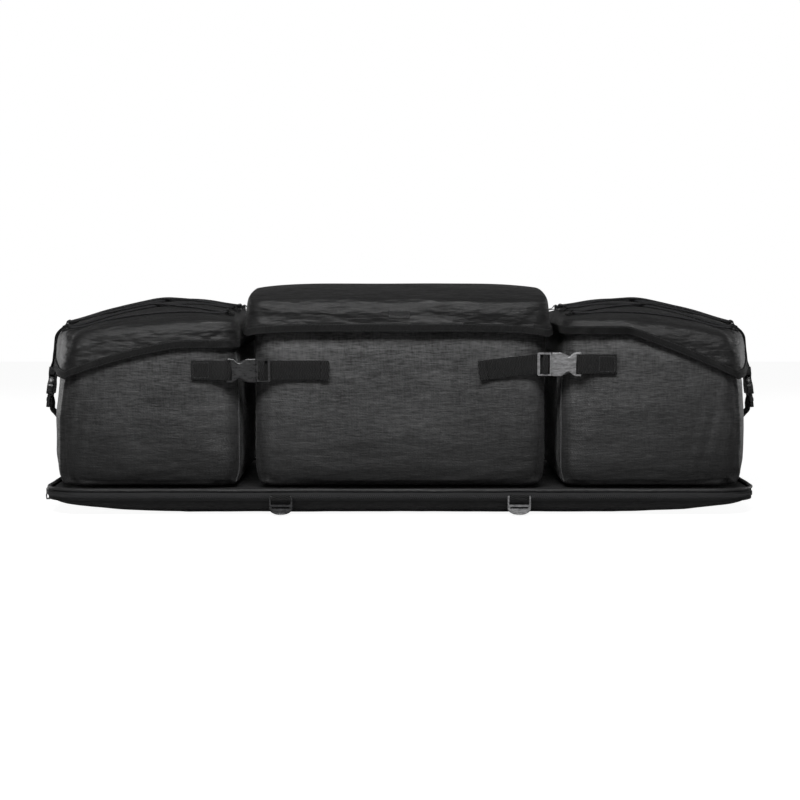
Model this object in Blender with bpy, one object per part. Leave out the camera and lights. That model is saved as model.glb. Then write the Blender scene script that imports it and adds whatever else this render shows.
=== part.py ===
# All-terrain vehicle cargo bag: three stuffed compartments on a zipped base pouch.
# Metres. X runs along the rack, -Y faces the front, +Z is up, the origin is under the base.
import math
from dataclasses import dataclass, replace

import bmesh
import bpy
from mathutils import Matrix, Vector

# Shared gaps and cloth
CLEARANCE = 0.0004          # between two pieces that touch
LID_CLOTH = 0.004           # padded lid and valance wall
LID_REST_GAP = 0.0007       # between a stuffed compartment's top and its lid
BINDING_THICKNESS = 0.0015
BINDING_HEIGHT = 0.0105

# Base pouch
BASE_HALF_LENGTH = 0.460
BASE_HALF_DEPTH = 0.210
BASE_CORNER = 0.060
BASE_BAND_BOTTOM = 0.0132
BASE_TOP = 0.033
BELLY_RISE_LENGTH = 0.125   # how far in from each end the underside starts to lift
BELLY_RISE_DEPTH = 0.022
PIPING_RADIUS = 0.002

# Zip round the front and both ends of the base
ZIP_HEIGHT = 0.0232
ZIP_TAPE_WIDTH = 0.013
ZIP_TAPE_THICKNESS = 0.0008
ZIP_COIL_WIDTH = 0.005
ZIP_COIL_THICKNESS = 0.0012
ZIP_REAR_END = 0.105
SLIDER_REST = -0.115
SLIDER_LENGTH = 0.010
SLIDER_WIDTH = 0.0085
SLIDER_THICKNESS = 0.0022
PULL_LENGTH = 0.014
PULL_WIDTH = 0.006

# Centre compartment and its lid
CENTER_HALF_WIDTH = 0.190
BODY_HALF_DEPTH = 0.200
BODY_CORNER = 0.020
BODY_FOOT = ((0.955, 0.0), (0.985, 0.006), (1.0, 0.022))  # shrink and rise of the sewn-in foot
CENTER_FRONT_PUFF = 0.006
CENTER_LID_SHIFT = -0.003
CENTER_LID_HALF_WIDTH = 0.200
CENTER_LID_HALF_DEPTH = 0.210
CENTER_CREST = 0.268
CENTER_DOME = 0.028
CENTER_VALANCE_EDGE = 0.236

# Side compartments and their lids
SIDE_INNER = 0.213          # X of the wall beside the centre compartment
SIDE_OUTER = 0.440          # X of the outer wall at its corners
END_PUFF = 0.027            # how much further the outer wall swells at mid depth
SIDE_FRONT_PUFF = 0.004
SIDE_LID_OVERHANG = 0.0055
SIDE_CREST_INNER = 0.252
SIDE_CREST_OUTER = 0.228
SIDE_DOME = 0.024
SIDE_EDGE_OUTER = 0.176
SIDE_EDGE_END_LIFT = 0.014
LEFT_EDGE_INNER = 0.215
RIGHT_EDGE_INNER = 0.233
LID_CREST_RADIUS = 0.014

# Webbing and buckles
WEBBING_WIDTH = 0.025
WEBBING = 0.0014
SOCKET_LENGTH = 0.038
SOCKET_HALF_WIDTH = 0.0152
SOCKET_HALF_THICKNESS = 0.0045
SOCKET_WAIST = 0.0096
SOCKET_WALL = 0.003
SOCKET_SKIN = 0.0019
WINDOW_START = 0.014
WINDOW_END = 0.027
CAVITY_END = 0.0295
BAR_WIDTH = 0.0034
BAR_HALF_THICKNESS = 0.0015
SOCKET_SLOT = 0.0036
RAIL_WIDTH = 0.0022
PLUG_HALF_THICKNESS = 0.0022
LADDER_LENGTH = 0.0182
LADDER_PLATE = 0.0022
LADDER_SLOT_NEAR = 0.0035
LADDER_SLOT_FAR = 0.0056
LEFT_BUCKLE_MOUTH = -0.184
RIGHT_BUCKLE_MOUTH = 0.194
LEFT_BUCKLE_HEIGHT = 0.186
RIGHT_BUCKLE_HEIGHT = 0.194
RIGHT_TAIL_DROOP = math.radians(6.5)
BUCKLE_STANDOFF = 0.0105    # buckle's middle plane in front of the compartments' corners
END_BUCKLE_STANDOFF = 0.0115  # end socket's bar beyond the swollen end of its compartment
END_BUCKLE_HEIGHT = 0.181
END_BUCKLE_TILT = math.radians(7.5)

# Tie-down ladder-locks on the base
LOCK_X = 0.153
LOCK_HALF_WIDTH = 0.0149
LOCK_RAIL = 0.0021
LOCK_BAR_RADIUS = 0.0017
LOCK_BAR_HEIGHT = 0.0236
LOCK_STANDOFF = 0.0070
LOCK_HALF_THICKNESS = 0.0017
LOCK_MIDDLE_BAR = (0.0097, 0.0123)
LOCK_TAB = (0.0146, 0.0226)
LOCK_TAB_LEAN = 0.0022

# Bungee lacing over each side lid
CORD_RADIUS = 0.0019
ANCHOR_ROWS = (-0.72, -0.24, 0.24, 0.72)
ANCHOR_U = 0.84
LOOP_WIDTH = 0.012
LOOP_CLOTH = 0.001
LOOP_TAIL = 0.010

# Outline resolution
CORNER_STEPS = 4
SIDE_STEPS = 6


@dataclass
class Form:
    """Plan of a rounded, slightly swollen box. u = +1 is its outer end, v = -1 its front."""
    center_x: float
    side: int
    half_x: float
    half_y: float
    corner: float
    end_puff: float = 0.0
    front_puff: float = 0.0


def clear_scene():
    for item in list(bpy.data.objects):
        bpy.data.objects.remove(item, do_unlink=True)


def material(name, color, roughness, metallic=0.0):
    made = bpy.data.materials.new(name)
    made.use_nodes = True
    shader = made.node_tree.nodes["Principled BSDF"]
    shader.inputs["Base Color"].default_value = (*color, 1.0)
    shader.inputs["Roughness"].default_value = roughness
    shader.inputs["Metallic"].default_value = metallic
    return made


def finish(name, mesh, surface, sharp_degrees=35.0):
    """Put a finished bmesh into the scene as one named object."""
    bmesh.ops.recalc_face_normals(mesh, faces=mesh.faces[:])
    data = bpy.data.meshes.new(name)
    mesh.to_mesh(data)
    mesh.free()
    data.materials.append(surface)
    data.shade_smooth()
    data.set_sharp_from_angle(angle=math.radians(sharp_degrees))
    made = bpy.data.objects.new(name, data)
    bpy.context.scene.collection.objects.link(made)
    return made


def loft(rings, closed=False):
    """Bridge equal rings of points; the ends are capped, or the last ring meets the first."""
    mesh = bmesh.new()
    loops = [[mesh.verts.new(point) for point in ring] for ring in rings]
    count = len(loops[0])
    pairs = list(zip(loops, loops[1:]))
    if closed:
        pairs.append((loops[-1], loops[0]))
    for first, second in pairs:
        for index in range(count):
            after = (index + 1) % count
            mesh.faces.new((first[index], first[after], second[after], second[index]))
    if not closed:
        mesh.faces.new(list(reversed(loops[0])))
        mesh.faces.new(loops[-1])
    return mesh


def prism(outline, low, high, bevel=0.0, segments=1):
    """Extrude a flat outline (x, y) from z low to z high and round its two rims."""
    mesh = bmesh.new()
    face = mesh.faces.new([mesh.verts.new((x, y, low)) for x, y in outline])
    grown = bmesh.ops.extrude_face_region(mesh, geom=[face])
    moved = [item for item in grown["geom"] if isinstance(item, bmesh.types.BMVert)]
    bmesh.ops.translate(mesh, verts=moved, vec=(0.0, 0.0, high - low))
    if bevel:
        rims = [edge for edge in mesh.edges if abs(edge.verts[0].co.z - edge.verts[1].co.z) < 1e-7]
        bmesh.ops.bevel(mesh, geom=rims, offset=bevel, offset_type="OFFSET", segments=segments,
                        profile=0.5, affect="EDGES", clamp_overlap=True, material=-1)
    return mesh


def box(low, high, bevel=0.0):
    outline = [(low[0], low[1]), (high[0], low[1]), (high[0], high[1]), (low[0], high[1])]
    return prism(outline, low[2], high[2], bevel)


def combine(base, others, operation):
    """Return base with each of the other bmeshes cut from it or joined to it, all closed."""
    bmesh.ops.recalc_face_normals(base, faces=base.faces[:])
    data = bpy.data.meshes.new("combined")
    base.to_mesh(data)
    base.free()
    target = bpy.data.objects.new("combined", data)
    bpy.context.scene.collection.objects.link(target)
    tools = []
    for other in others:
        bmesh.ops.recalc_face_normals(other, faces=other.faces[:])
        shape = bpy.data.meshes.new("tool")
        other.to_mesh(shape)
        other.free()
        tool = bpy.data.objects.new("tool", shape)
        bpy.context.scene.collection.objects.link(tool)
        step = target.modifiers.new("step", "BOOLEAN")
        step.operation = operation
        step.object = tool
        tools.append(tool)
    bpy.context.view_layer.update()
    evaluated = target.evaluated_get(bpy.context.evaluated_depsgraph_get())
    result = bmesh.new()
    result.from_mesh(evaluated.data)
    for item in [target, *tools]:
        bpy.data.objects.remove(item, do_unlink=True)
    bmesh.ops.remove_doubles(result, verts=result.verts[:], dist=0.00001)
    bmesh.ops.dissolve_degenerate(result, edges=result.edges[:], dist=0.00001)
    return result


def rounded_outline(half_x, half_y, corner):
    """Points round a rounded rectangle, the same number whatever its size."""
    arcs = []
    for quarter in range(4):
        middle_x = (half_x - corner) * (1 if quarter in (0, 3) else -1)
        middle_y = (half_y - corner) * (1 if quarter in (0, 1) else -1)
        arc = []
        for step in range(CORNER_STEPS + 1):
            angle = (quarter + step / CORNER_STEPS) * math.pi / 2
            arc.append(Vector((middle_x + corner * math.cos(angle), middle_y + corner * math.sin(angle))))
        arcs.append(arc)
    points = []
    for quarter, arc in enumerate(arcs):
        points.extend(arc)
        following = arcs[(quarter + 1) % 4][0]
        points.extend(arc[-1].lerp(following, step / SIDE_STEPS) for step in range(1, SIDE_STEPS))
    return points


def swell(form, x, y, u, v):
    """Push a point out where the stuffed wall bulges."""
    x += form.end_puff * max(u, 0.0) ** 2 * (1 - v * v)
    y += math.copysign(form.front_puff * v * v * (1 - u * u), v)
    return x, y


def form_ring(form, grow, scale, height):
    """One closed ring: the form's outline moved out by grow, shrunk by scale, at height(u, v)."""
    half_x, half_y = form.half_x + grow, form.half_y + grow
    points = []
    for outline_x, outline_y in rounded_outline(half_x, half_y, form.corner + grow):
        u, v = outline_x / half_x, outline_y / half_y
        x, y = swell(form, outline_x, outline_y, u, v)
        z = height(u * scale, v * scale)
        points.append(Vector((form.center_x + form.side * x * scale, y * scale, z)))
    return points


def surface_point(form, u, v, top):
    """The point of a lid's smooth top at plan position u, v."""
    scale = max(abs(u), abs(v), 1e-6)
    x, y = swell(form, form.half_x * u / scale, form.half_y * v / scale, u / scale, v / scale)
    return Vector((form.center_x + form.side * x * scale, y * scale, top(u, v)))


def surface_frame(form, u, v, top):
    """Outward direction along X, direction along Y and normal of a lid's top at u, v."""
    step = 0.01
    along = surface_point(form, u + step, v, top) - surface_point(form, u - step, v, top)
    across = surface_point(form, u, v + step, top) - surface_point(form, u, v - step, top)
    outward = along.normalized()
    normal = outward.cross(across).normalized()
    if normal.z < 0:
        normal.negate()
    return outward, normal.cross(outward).normalized(), normal


def ribbon(name, path, thickness, half_width, place, surface):
    """Webbing: a flat strip whose section follows path, a list of (along, outward) points.

    place(along, outward, across) gives the world position of a point of the strip.
    """
    points = [Vector(point) for point in path]
    sections = []
    for index, point in enumerate(points):
        before = points[max(index - 1, 0)]
        after = points[min(index + 1, len(points) - 1)]
        incoming = (point - before).normalized() if index else (after - point).normalized()
        outgoing = (after - point).normalized() if index < len(points) - 1 else incoming
        tangent = (incoming + outgoing).normalized()
        normal = Vector((-tangent.y, tangent.x))
        half = thickness / 2 / max(normal.dot(Vector((-incoming.y, incoming.x))), 0.5)
        left, right = point + normal * half, point - normal * half
        sections.append([
            place(left.x, left.y, -half_width), place(left.x, left.y, half_width),
            place(right.x, right.y, half_width), place(right.x, right.y, -half_width),
        ])
    return finish(name, loft(sections), surface)


def around_bar(bar, half_along, half_outward, lift, first, last):
    """Path points round a squarish bar, from corner first to corner last, a quarter turn each.

    Corners are numbered 0 to 3 from (+, +) through (-, +) and (-, -) to (+, -).
    """
    signs = ((1, 1), (-1, 1), (-1, -1), (1, -1))
    step = 1 if last > first else -1
    points = []
    for corner in range(first, last + step, step):
        sign_x, sign_y = signs[corner % 4]
        middle = Vector((bar[0] + sign_x * half_along, bar[1] + sign_y * half_outward))
        turns = [Vector((sign_x, 0)), Vector((sign_x, sign_y)).normalized(), Vector((0, sign_y))]
        if (corner % 2 == 1) == (step == 1):
            turns.reverse()
        points.extend(middle + turn * lift for turn in turns)
    return points


def center_top(u, v):
    """Height of the centre lid: a barrel that falls to its front and rear crests."""
    return CENTER_CREST + CENTER_DOME * (1 - v * v) * (1 - 0.35 * abs(u) ** 6)


def center_edge(u, v):
    return CENTER_VALANCE_EDGE


def side_top(u, v):
    """Height of a side lid: a pillow whose crest line falls to the outer end."""
    share = (u + 1) / 2
    crest = SIDE_CREST_INNER + (SIDE_CREST_OUTER - SIDE_CREST_INNER) * share ** 2
    return crest + SIDE_DOME * (1 - abs(u) ** 2.5) * (1 - abs(v) ** 2.2)


def side_edge(inner_edge):
    """Height of a side valance's edge: it drops to the outer corners and lifts at the strap."""
    def edge(u, v):
        share = (u + 1) / 2
        lift = SIDE_EDGE_END_LIFT * (1 - v * v) * share ** 4
        return inner_edge + (SIDE_EDGE_OUTER - inner_edge) * share ** 2 + lift
    return edge


# Shrink and drop of each ring from the crest to the top
OUTER_STEPS = ((1.0, 1.0), (0.98, 0.32), (0.935, 0.0), (0.75, 0.0), (0.5, 0.0), (0.25, 0.0), (0.02, 0.0))
INNER_STEPS = ((1.0, 1.0), (0.98, 0.32), (0.935, 0.0), (0.75, 0.0), (0.5, 0.0), (0.25, 0.0), (0.02, 0.0))


def dome_rings(form, grow, lower, steps, top):
    def height(drop):
        return lambda u, v: top(u, v) - lower - drop * LID_CREST_RADIUS
    return [form_ring(form, grow, scale, height(drop)) for scale, drop in steps]


def build_lid(name, form, top, edge, surface):
    """A padded lid with its hanging valance, open underneath."""
    rings = dome_rings(form, -LID_CLOTH, LID_CLOTH, INNER_STEPS, top)[::-1]
    rings.append(form_ring(form, -LID_CLOTH, 1.0, edge))
    rings.append(form_ring(form, 0.0, 1.0, edge))
    rings.extend(dome_rings(form, 0.0, 0.0, OUTER_STEPS, top))
    return finish(name, loft(rings), surface)


def build_binding(name, form, edge, surface):
    """Ribbed webbing sewn round the outside of a valance's edge."""
    inside, outside = CLEARANCE, CLEARANCE + BINDING_THICKNESS

    def upper(u, v):
        return edge(u, v) + BINDING_HEIGHT
    rings = [form_ring(form, grow, 1.0, height) for grow, height in (
        (inside, edge), (outside, edge), (outside, upper), (inside, upper))]
    return finish(name, loft(rings, closed=True), surface)


def build_body(name, form, top, surface):
    """A closed, stuffed compartment whose top fills the lid over it."""
    floor = BASE_TOP + CLEARANCE
    rings = [form_ring(form, 0.0, scale, lambda u, v, z=floor + rise: z) for scale, rise in BODY_FOOT]
    rings.extend(dome_rings(form, 0.0, LID_CLOTH + LID_REST_GAP, INNER_STEPS, top))
    return finish(name, loft(rings), surface)


def base_form():
    return Form(0.0, 1, BASE_HALF_LENGTH, BASE_HALF_DEPTH, BASE_CORNER)


def center_form():
    return Form(0.0, 1, CENTER_HALF_WIDTH, BODY_HALF_DEPTH, BODY_CORNER, 0.0, CENTER_FRONT_PUFF)


def center_lid_form():
    return Form(CENTER_LID_SHIFT, 1, CENTER_LID_HALF_WIDTH, CENTER_LID_HALF_DEPTH,
                BODY_CORNER + 0.006, 0.0, CENTER_FRONT_PUFF)


def side_form(side):
    return Form(side * (SIDE_INNER + SIDE_OUTER) / 2, side, (SIDE_OUTER - SIDE_INNER) / 2,
                BODY_HALF_DEPTH, BODY_CORNER, END_PUFF, SIDE_FRONT_PUFF)


def side_lid_form(side):
    body = side_form(side)
    return replace(body, half_x=body.half_x + SIDE_LID_OVERHANG, half_y=body.half_y + SIDE_LID_OVERHANG,
                   corner=body.corner + SIDE_LID_OVERHANG)


def build_base(surface):
    """The stuffed base pouch: flat underside that lifts at both ends, upright zip band."""
    form = base_form()

    def ring(shorter, narrower, z):
        inset = replace(form, half_x=form.half_x - shorter, half_y=form.half_y - narrower)
        return form_ring(inset, 0.0, 1.0, lambda u, v: z)
    rings = [
        ring(BELLY_RISE_LENGTH, BELLY_RISE_DEPTH, 0.0),
        ring(BELLY_RISE_LENGTH * 0.55, BELLY_RISE_DEPTH * 0.45, 0.0035),
        ring(BELLY_RISE_LENGTH * 0.12, BELLY_RISE_DEPTH * 0.1, BASE_BAND_BOTTOM * 0.75),
        ring(0.0, 0.0, BASE_BAND_BOTTOM),
        ring(0.0, 0.0, BASE_TOP),
    ]
    return finish("base_pouch", loft(rings), surface)


def build_piping(surface):
    form = base_form()
    reach = CLEARANCE + PIPING_RADIUS
    rings = []
    for step in range(6):
        angle = math.tau * step / 6
        height = BASE_TOP - 0.0008 + PIPING_RADIUS * math.sin(angle)
        rings.append(form_ring(form, reach + PIPING_RADIUS * math.cos(angle), 1.0,
                               lambda u, v, z=height: z))
    return finish("base_piping", loft(rings, closed=True), surface)


def zip_strip(name, low_grow, thickness, width, chamfer, surface):
    """A strip along the zip's track: left end, front, right end."""
    form = base_form()
    half = width / 2
    corners = ((low_grow, -half), (low_grow + thickness, -half + chamfer),
               (low_grow + thickness, half - chamfer), (low_grow, half))
    loops = [form_ring(form, grow, 1.0, lambda u, v, z=z: ZIP_HEIGHT + z) for grow, z in corners]
    kept = [index for index, point in enumerate(loops[0]) if point.y < ZIP_REAR_END]
    sections = [[loop[index] for loop in loops] for index in kept]
    for end, beyond in ((0, kept[0] - 1), (-1, kept[-1] + 1)):
        stop = [cut_at_rear_end(point, loop[beyond % len(loop)])
                for point, loop in zip(sections[end], loops)]
        sections.insert(0 if end == 0 else len(sections), stop)
    return finish(name, loft(sections), surface)


def cut_at_rear_end(inner, beyond):
    """The point between two outline points where the zip stops."""
    return inner.lerp(beyond, (ZIP_REAR_END - inner.y) / (beyond.y - inner.y))


def tape_face():
    return CLEARANCE + ZIP_TAPE_THICKNESS


def coil_face():
    return tape_face() + CLEARANCE + ZIP_COIL_THICKNESS


def build_slider(metal):
    """Slider on the left end of the track, with an upright bridge bar along Y for the pull."""
    outline = [(-SLIDER_LENGTH / 2, -SLIDER_WIDTH * 0.36), (-SLIDER_LENGTH * 0.2, -SLIDER_WIDTH / 2),
               (SLIDER_LENGTH * 0.3, -SLIDER_WIDTH * 0.42), (SLIDER_LENGTH / 2, -SLIDER_WIDTH * 0.25),
               (SLIDER_LENGTH / 2, SLIDER_WIDTH * 0.25), (SLIDER_LENGTH * 0.3, SLIDER_WIDTH * 0.42),
               (-SLIDER_LENGTH * 0.2, SLIDER_WIDTH / 2), (-SLIDER_LENGTH / 2, SLIDER_WIDTH * 0.36)]
    plate = prism(outline, 0.0, SLIDER_THICKNESS, 0.0004)
    half_arch, wall = SLIDER_LENGTH * 0.36, 0.0011
    low, high = SLIDER_THICKNESS - 0.0006, SLIDER_THICKNESS + 0.0042
    arch = [(-half_arch, low), (-half_arch, high - wall), (-half_arch + wall, high),
            (half_arch - wall, high), (half_arch, high - wall), (half_arch, low), (half_arch - wall, low),
            (half_arch - wall, high - wall), (-half_arch + wall, high - wall), (-half_arch + wall, low)]
    bridge = prism(arch, -0.0008, 0.0008)
    bmesh.ops.rotate(bridge, verts=bridge.verts[:], matrix=Matrix.Rotation(math.pi / 2, 3, "X"))
    whole = combine(plate, [bridge], "UNION")
    made = finish("zip_slider", whole, metal)
    seat = Vector((-BASE_HALF_LENGTH - coil_face() - CLEARANCE, SLIDER_REST, ZIP_HEIGHT))
    made.matrix_world = Matrix.Translation(seat) @ Matrix((
        (0, 0, -1, 0), (-1, 0, 0, 0), (0, 1, 0, 0), (0, 0, 0, 1)))
    return made


def pull_axis():
    """The pull turns about the middle of the slider's bridge bar, along Y."""
    lift = coil_face() + CLEARANCE + SLIDER_THICKNESS + 0.0042 - 0.00055
    return Vector((-BASE_HALF_LENGTH - lift, SLIDER_REST, ZIP_HEIGHT))


def build_pull(metal):
    """A pull hanging from the bridge by its round eye, modelled round the eye's centre."""
    half, thickness, eye, wall = PULL_WIDTH / 2, 0.0012, 0.00135, 0.0010
    turns = [math.pi * step / 6 for step in range(7)]
    outline = [((eye + wall) * math.cos(turn), (eye + wall) * math.sin(turn)) for turn in turns]
    outline += [(-half * 0.75, -PULL_LENGTH * 0.35), (-half, -PULL_LENGTH * 0.6), (-half * 0.8, -PULL_LENGTH),
                (half * 0.8, -PULL_LENGTH), (half, -PULL_LENGTH * 0.6), (half * 0.75, -PULL_LENGTH * 0.35)]
    plate = prism(outline, -thickness / 2, thickness / 2, 0.0003)
    circle = [math.tau * step / 10 for step in range(10)]
    hole = prism([(eye * math.cos(turn), eye * math.sin(turn)) for turn in circle], -0.01, 0.01)
    grip = box((-half * 0.4, -PULL_LENGTH * 0.85, -0.01), (half * 0.4, -PULL_LENGTH * 0.5, 0.01))
    made = finish("zip_pull", combine(plate, [hole, grip], "DIFFERENCE"), metal)
    made.matrix_world = Matrix.Translation(pull_axis()) @ Matrix((
        (1, 0, 0, 0), (0, 0, -1, 0), (0, 1, 0, 0), (0, 0, 0, 1)))
    return made


@dataclass
class Seat:
    """Where a buckle sits: mouth of its socket, direction to the socket's bar, way out of the bag."""
    origin: Vector
    along: Vector
    outward: Vector

    def place(self, along, outward, across):
        sideways = self.outward.cross(self.along)
        return self.origin + self.along * along + self.outward * outward + sideways * across

    def local(self, point):
        """Along and outward values of a world point."""
        offset = Vector(point) - self.origin
        return Vector((offset.dot(self.along), offset.dot(self.outward)))

    def matrix(self):
        across = self.outward.cross(self.along)
        turned = Matrix((self.along, across, self.outward)).transposed().to_4x4()
        return Matrix.Translation(self.origin) @ turned


def mirrored(half_outline):
    """Close an outline drawn on its +y side by repeating it on the -y side."""
    return half_outline + [(x, -y) for x, y in reversed(half_outline)]


def build_socket(name, seat, plastic):
    """Socket half of a side-release buckle: waisted shell, open mouth, side windows, webbing bar."""
    half, waist_middle, waist_reach = SOCKET_HALF_WIDTH, 0.021, 0.0095
    side = [(0.0, half - 0.001), (0.001, half), (waist_middle - waist_reach, half)]
    for step in range(1, 8):
        turn = math.tau * step / 8
        x = waist_middle - waist_reach + 2 * waist_reach * step / 8
        side.append((x, half - (half - SOCKET_WAIST) * (0.5 - 0.5 * math.cos(turn))))
    side += [(waist_middle + waist_reach, half), (SOCKET_LENGTH - 0.001, half + 0.0005),
             (SOCKET_LENGTH, half - 0.0006)]
    shell = prism(mirrored(side), -SOCKET_HALF_THICKNESS, SOCKET_HALF_THICKNESS, 0.0012, 2)
    inner, roof = half - SOCKET_WALL, SOCKET_HALF_THICKNESS - SOCKET_SKIN
    hollow = mirrored([(-0.01, inner), (WINDOW_START, inner), (WINDOW_START, 0.03), (WINDOW_END, 0.03),
                       (WINDOW_END, inner), (CAVITY_END, inner)])
    rail = half - RAIL_WIDTH
    bar_start = SOCKET_LENGTH - BAR_WIDTH
    cutters = [prism(hollow, -roof, roof),
               box((bar_start - SOCKET_SLOT, -rail, -0.01), (bar_start, rail, 0.01))]
    for sign in (1, -1):
        low, high = sorted((sign * BAR_HALF_THICKNESS, sign * 0.011))
        cutters.append(box((bar_start - 0.0006, -rail, low), (SOCKET_LENGTH + 0.01, rail, high)))
    made = finish(name, combine(shell, cutters, "DIFFERENCE"), plastic)
    made.matrix_world = seat.matrix()
    return made


def build_plug(name, seat, plastic):
    """Plug half: two sprung arms and a guide pin, on a two-slot ladder for the webbing."""
    half, root = SOCKET_HALF_WIDTH - 0.0003, SOCKET_HALF_WIDTH - SOCKET_WALL - 0.0005
    shoulder = WINDOW_START + CLEARANCE
    side = [(-LADDER_LENGTH, half - 0.0015), (-LADDER_LENGTH + 0.0015, half), (-CLEARANCE, half),
            (-CLEARANCE, root), (shoulder, root), (shoulder, 0.0138), (shoulder + 0.0026, 0.0132),
            (0.0210, 0.0113), (0.0245, 0.0093), (0.0263, 0.0076), (0.0264, 0.0064), (0.0253, 0.0060),
            (0.0205, 0.0074), (0.0140, 0.0086), (0.0050, 0.0088), (0.0014, 0.0080), (0.0008, 0.0066),
            (0.0008, 0.0024), (0.0016, 0.0017), (0.0180, 0.0015), (0.0195, 0.0008)]
    shape = prism(mirrored(side), -PLUG_HALF_THICKNESS, PLUG_HALF_THICKNESS, 0.0004)
    rail = half - RAIL_WIDTH
    near_end = -LADDER_PLATE - LADDER_SLOT_NEAR
    far_start = -LADDER_LENGTH + BAR_WIDTH
    cutters = [box((near_end, -rail, -0.01), (-LADDER_PLATE, rail, 0.01)),
               box((far_start, -rail, -0.01), (far_start + LADDER_SLOT_FAR, rail, 0.01))]
    for sign in (1, -1):
        low, high = sorted((sign * BAR_HALF_THICKNESS, sign * 0.01))
        cutters.append(box((far_start + LADDER_SLOT_FAR - 0.0006, -rail, low),
                           (near_end + 0.0006, rail, high)))
    made = finish(name, combine(shape, cutters, "DIFFERENCE"), plastic)
    made.matrix_world = seat.matrix()
    return made


def socket_wrap():
    """Webbing path round the socket's bar, in from the bag's side and out on the front."""
    bar = (SOCKET_LENGTH - BAR_WIDTH / 2, 0.0)
    return around_bar(bar, BAR_WIDTH / 2, BAR_HALF_THICKNESS, CLEARANCE + WEBBING / 2, 2, 1)


def ladder_wrap():
    """Webbing path under the outer bar, over the middle bar and back under the outer bar."""
    near_end = -LADDER_PLATE - LADDER_SLOT_NEAR
    far_end = -LADDER_LENGTH + BAR_WIDTH + LADDER_SLOT_FAR
    middle, half = (near_end + far_end) / 2, (near_end - far_end) / 2
    lift = CLEARANCE + WEBBING / 2
    under = -PLUG_HALF_THICKNESS - lift
    pitch = WEBBING + CLEARANCE
    outer = -LADDER_LENGTH + BAR_WIDTH
    wrap = around_bar((middle, 0.0), half, BAR_HALF_THICKNESS, lift, 3, 5)
    coming = [(outer - 0.0052, under - pitch), (outer + 0.0008, under - pitch),
              (outer + 0.0040, under - pitch + 0.0007)]
    leaving = [(far_end - lift, -0.0006), (far_end - lift - 0.0007, -0.0020),
               (outer + 0.0022, under + 0.0003), (outer, under), (outer - 0.0052, under)]
    return coming + wrap + leaving


def folded_end(end, toward, length):
    """Path of a tail's end folded back on its front side. toward is the unit way the tail runs."""
    end, toward = Vector(end), Vector(toward)
    front = Vector((toward.y, -toward.x))
    radius = (WEBBING + CLEARANCE) / 2
    middle = end + front * radius
    turns = [math.pi * step / 4 for step in range(5)]
    curve = [middle + toward * (radius * math.sin(turn)) - front * (radius * math.cos(turn))
             for turn in turns]
    return curve + [curve[-1] - toward * length]


def front_wall(form, x):
    """Y of a compartment's front wall at X, between its corners."""
    u = (x - form.center_x) / form.half_x
    return -(form.half_y + form.front_puff * (1 - u * u))


def build_front_strap(side, cloth, plastic):
    """The strap that ties a side compartment to the centre one: tab, socket, plug, webbing."""
    word, mouth, height, droop = (
        ("left", LEFT_BUCKLE_MOUTH, LEFT_BUCKLE_HEIGHT, 0.0) if side < 0
        else ("right", RIGHT_BUCKLE_MOUTH, RIGHT_BUCKLE_HEIGHT, RIGHT_TAIL_DROOP))
    plane = -(BODY_HALF_DEPTH + BUCKLE_STANDOFF)
    seat = Seat(Vector((mouth, plane, height)), Vector((side, 0, 0)), Vector((0, -1, 0)))
    lift, pitch = CLEARANCE + WEBBING / 2, WEBBING + CLEARANCE

    def on_wall(form, along, layer):
        wall = front_wall(form, mouth + side * along)
        return along, plane - wall + lift + layer * pitch

    outer = side_form(side)
    tab = [on_wall(outer, SOCKET_LENGTH + reach, 0) for reach in (0.046, 0.024, 0.013)]
    tab += [(SOCKET_LENGTH + 0.006, -0.0042), (SOCKET_LENGTH + 0.0015, -0.0027)]
    tab += socket_wrap()
    tab += [(SOCKET_LENGTH + 0.0005, 0.0026), (SOCKET_LENGTH + 0.004, 0.0016),
            (SOCKET_LENGTH + 0.009, -0.0016), (SOCKET_LENGTH + 0.014, -0.0036)]
    tab += [on_wall(outer, SOCKET_LENGTH + reach, 1) for reach in (0.020, 0.046)]
    ribbon(f"{word}_front_tab", tab, WEBBING, WEBBING_WIDTH / 2, seat.place, cloth)

    center = center_form()
    sewn, tail = -0.064, -0.092
    webbing = [on_wall(center, along, 0) for along in (sewn, -0.048, -0.034)] + ladder_wrap()
    webbing += [on_wall(center, along, 1) for along in (-0.034, -0.048, sewn)]
    webbing += folded_end(on_wall(center, tail, 1), (-1, 0), 0.009)

    def drooping(along, outward, across):
        point = seat.place(along, outward, across)
        reach = max(-0.020 - along, 0.0)
        share = min(reach / 0.010, 1.0)
        hinge = seat.place(-0.020, outward, 0.0)
        turn = Matrix.Rotation(-side * droop * share, 3, "Y")
        return hinge + turn @ (point - hinge)
    ribbon(f"{word}_front_webbing", webbing, WEBBING, WEBBING_WIDTH / 2, drooping, cloth)
    build_socket(f"{word}_front_buckle_socket", seat, plastic)
    build_plug(f"{word}_front_buckle_plug", seat, plastic)


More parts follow.
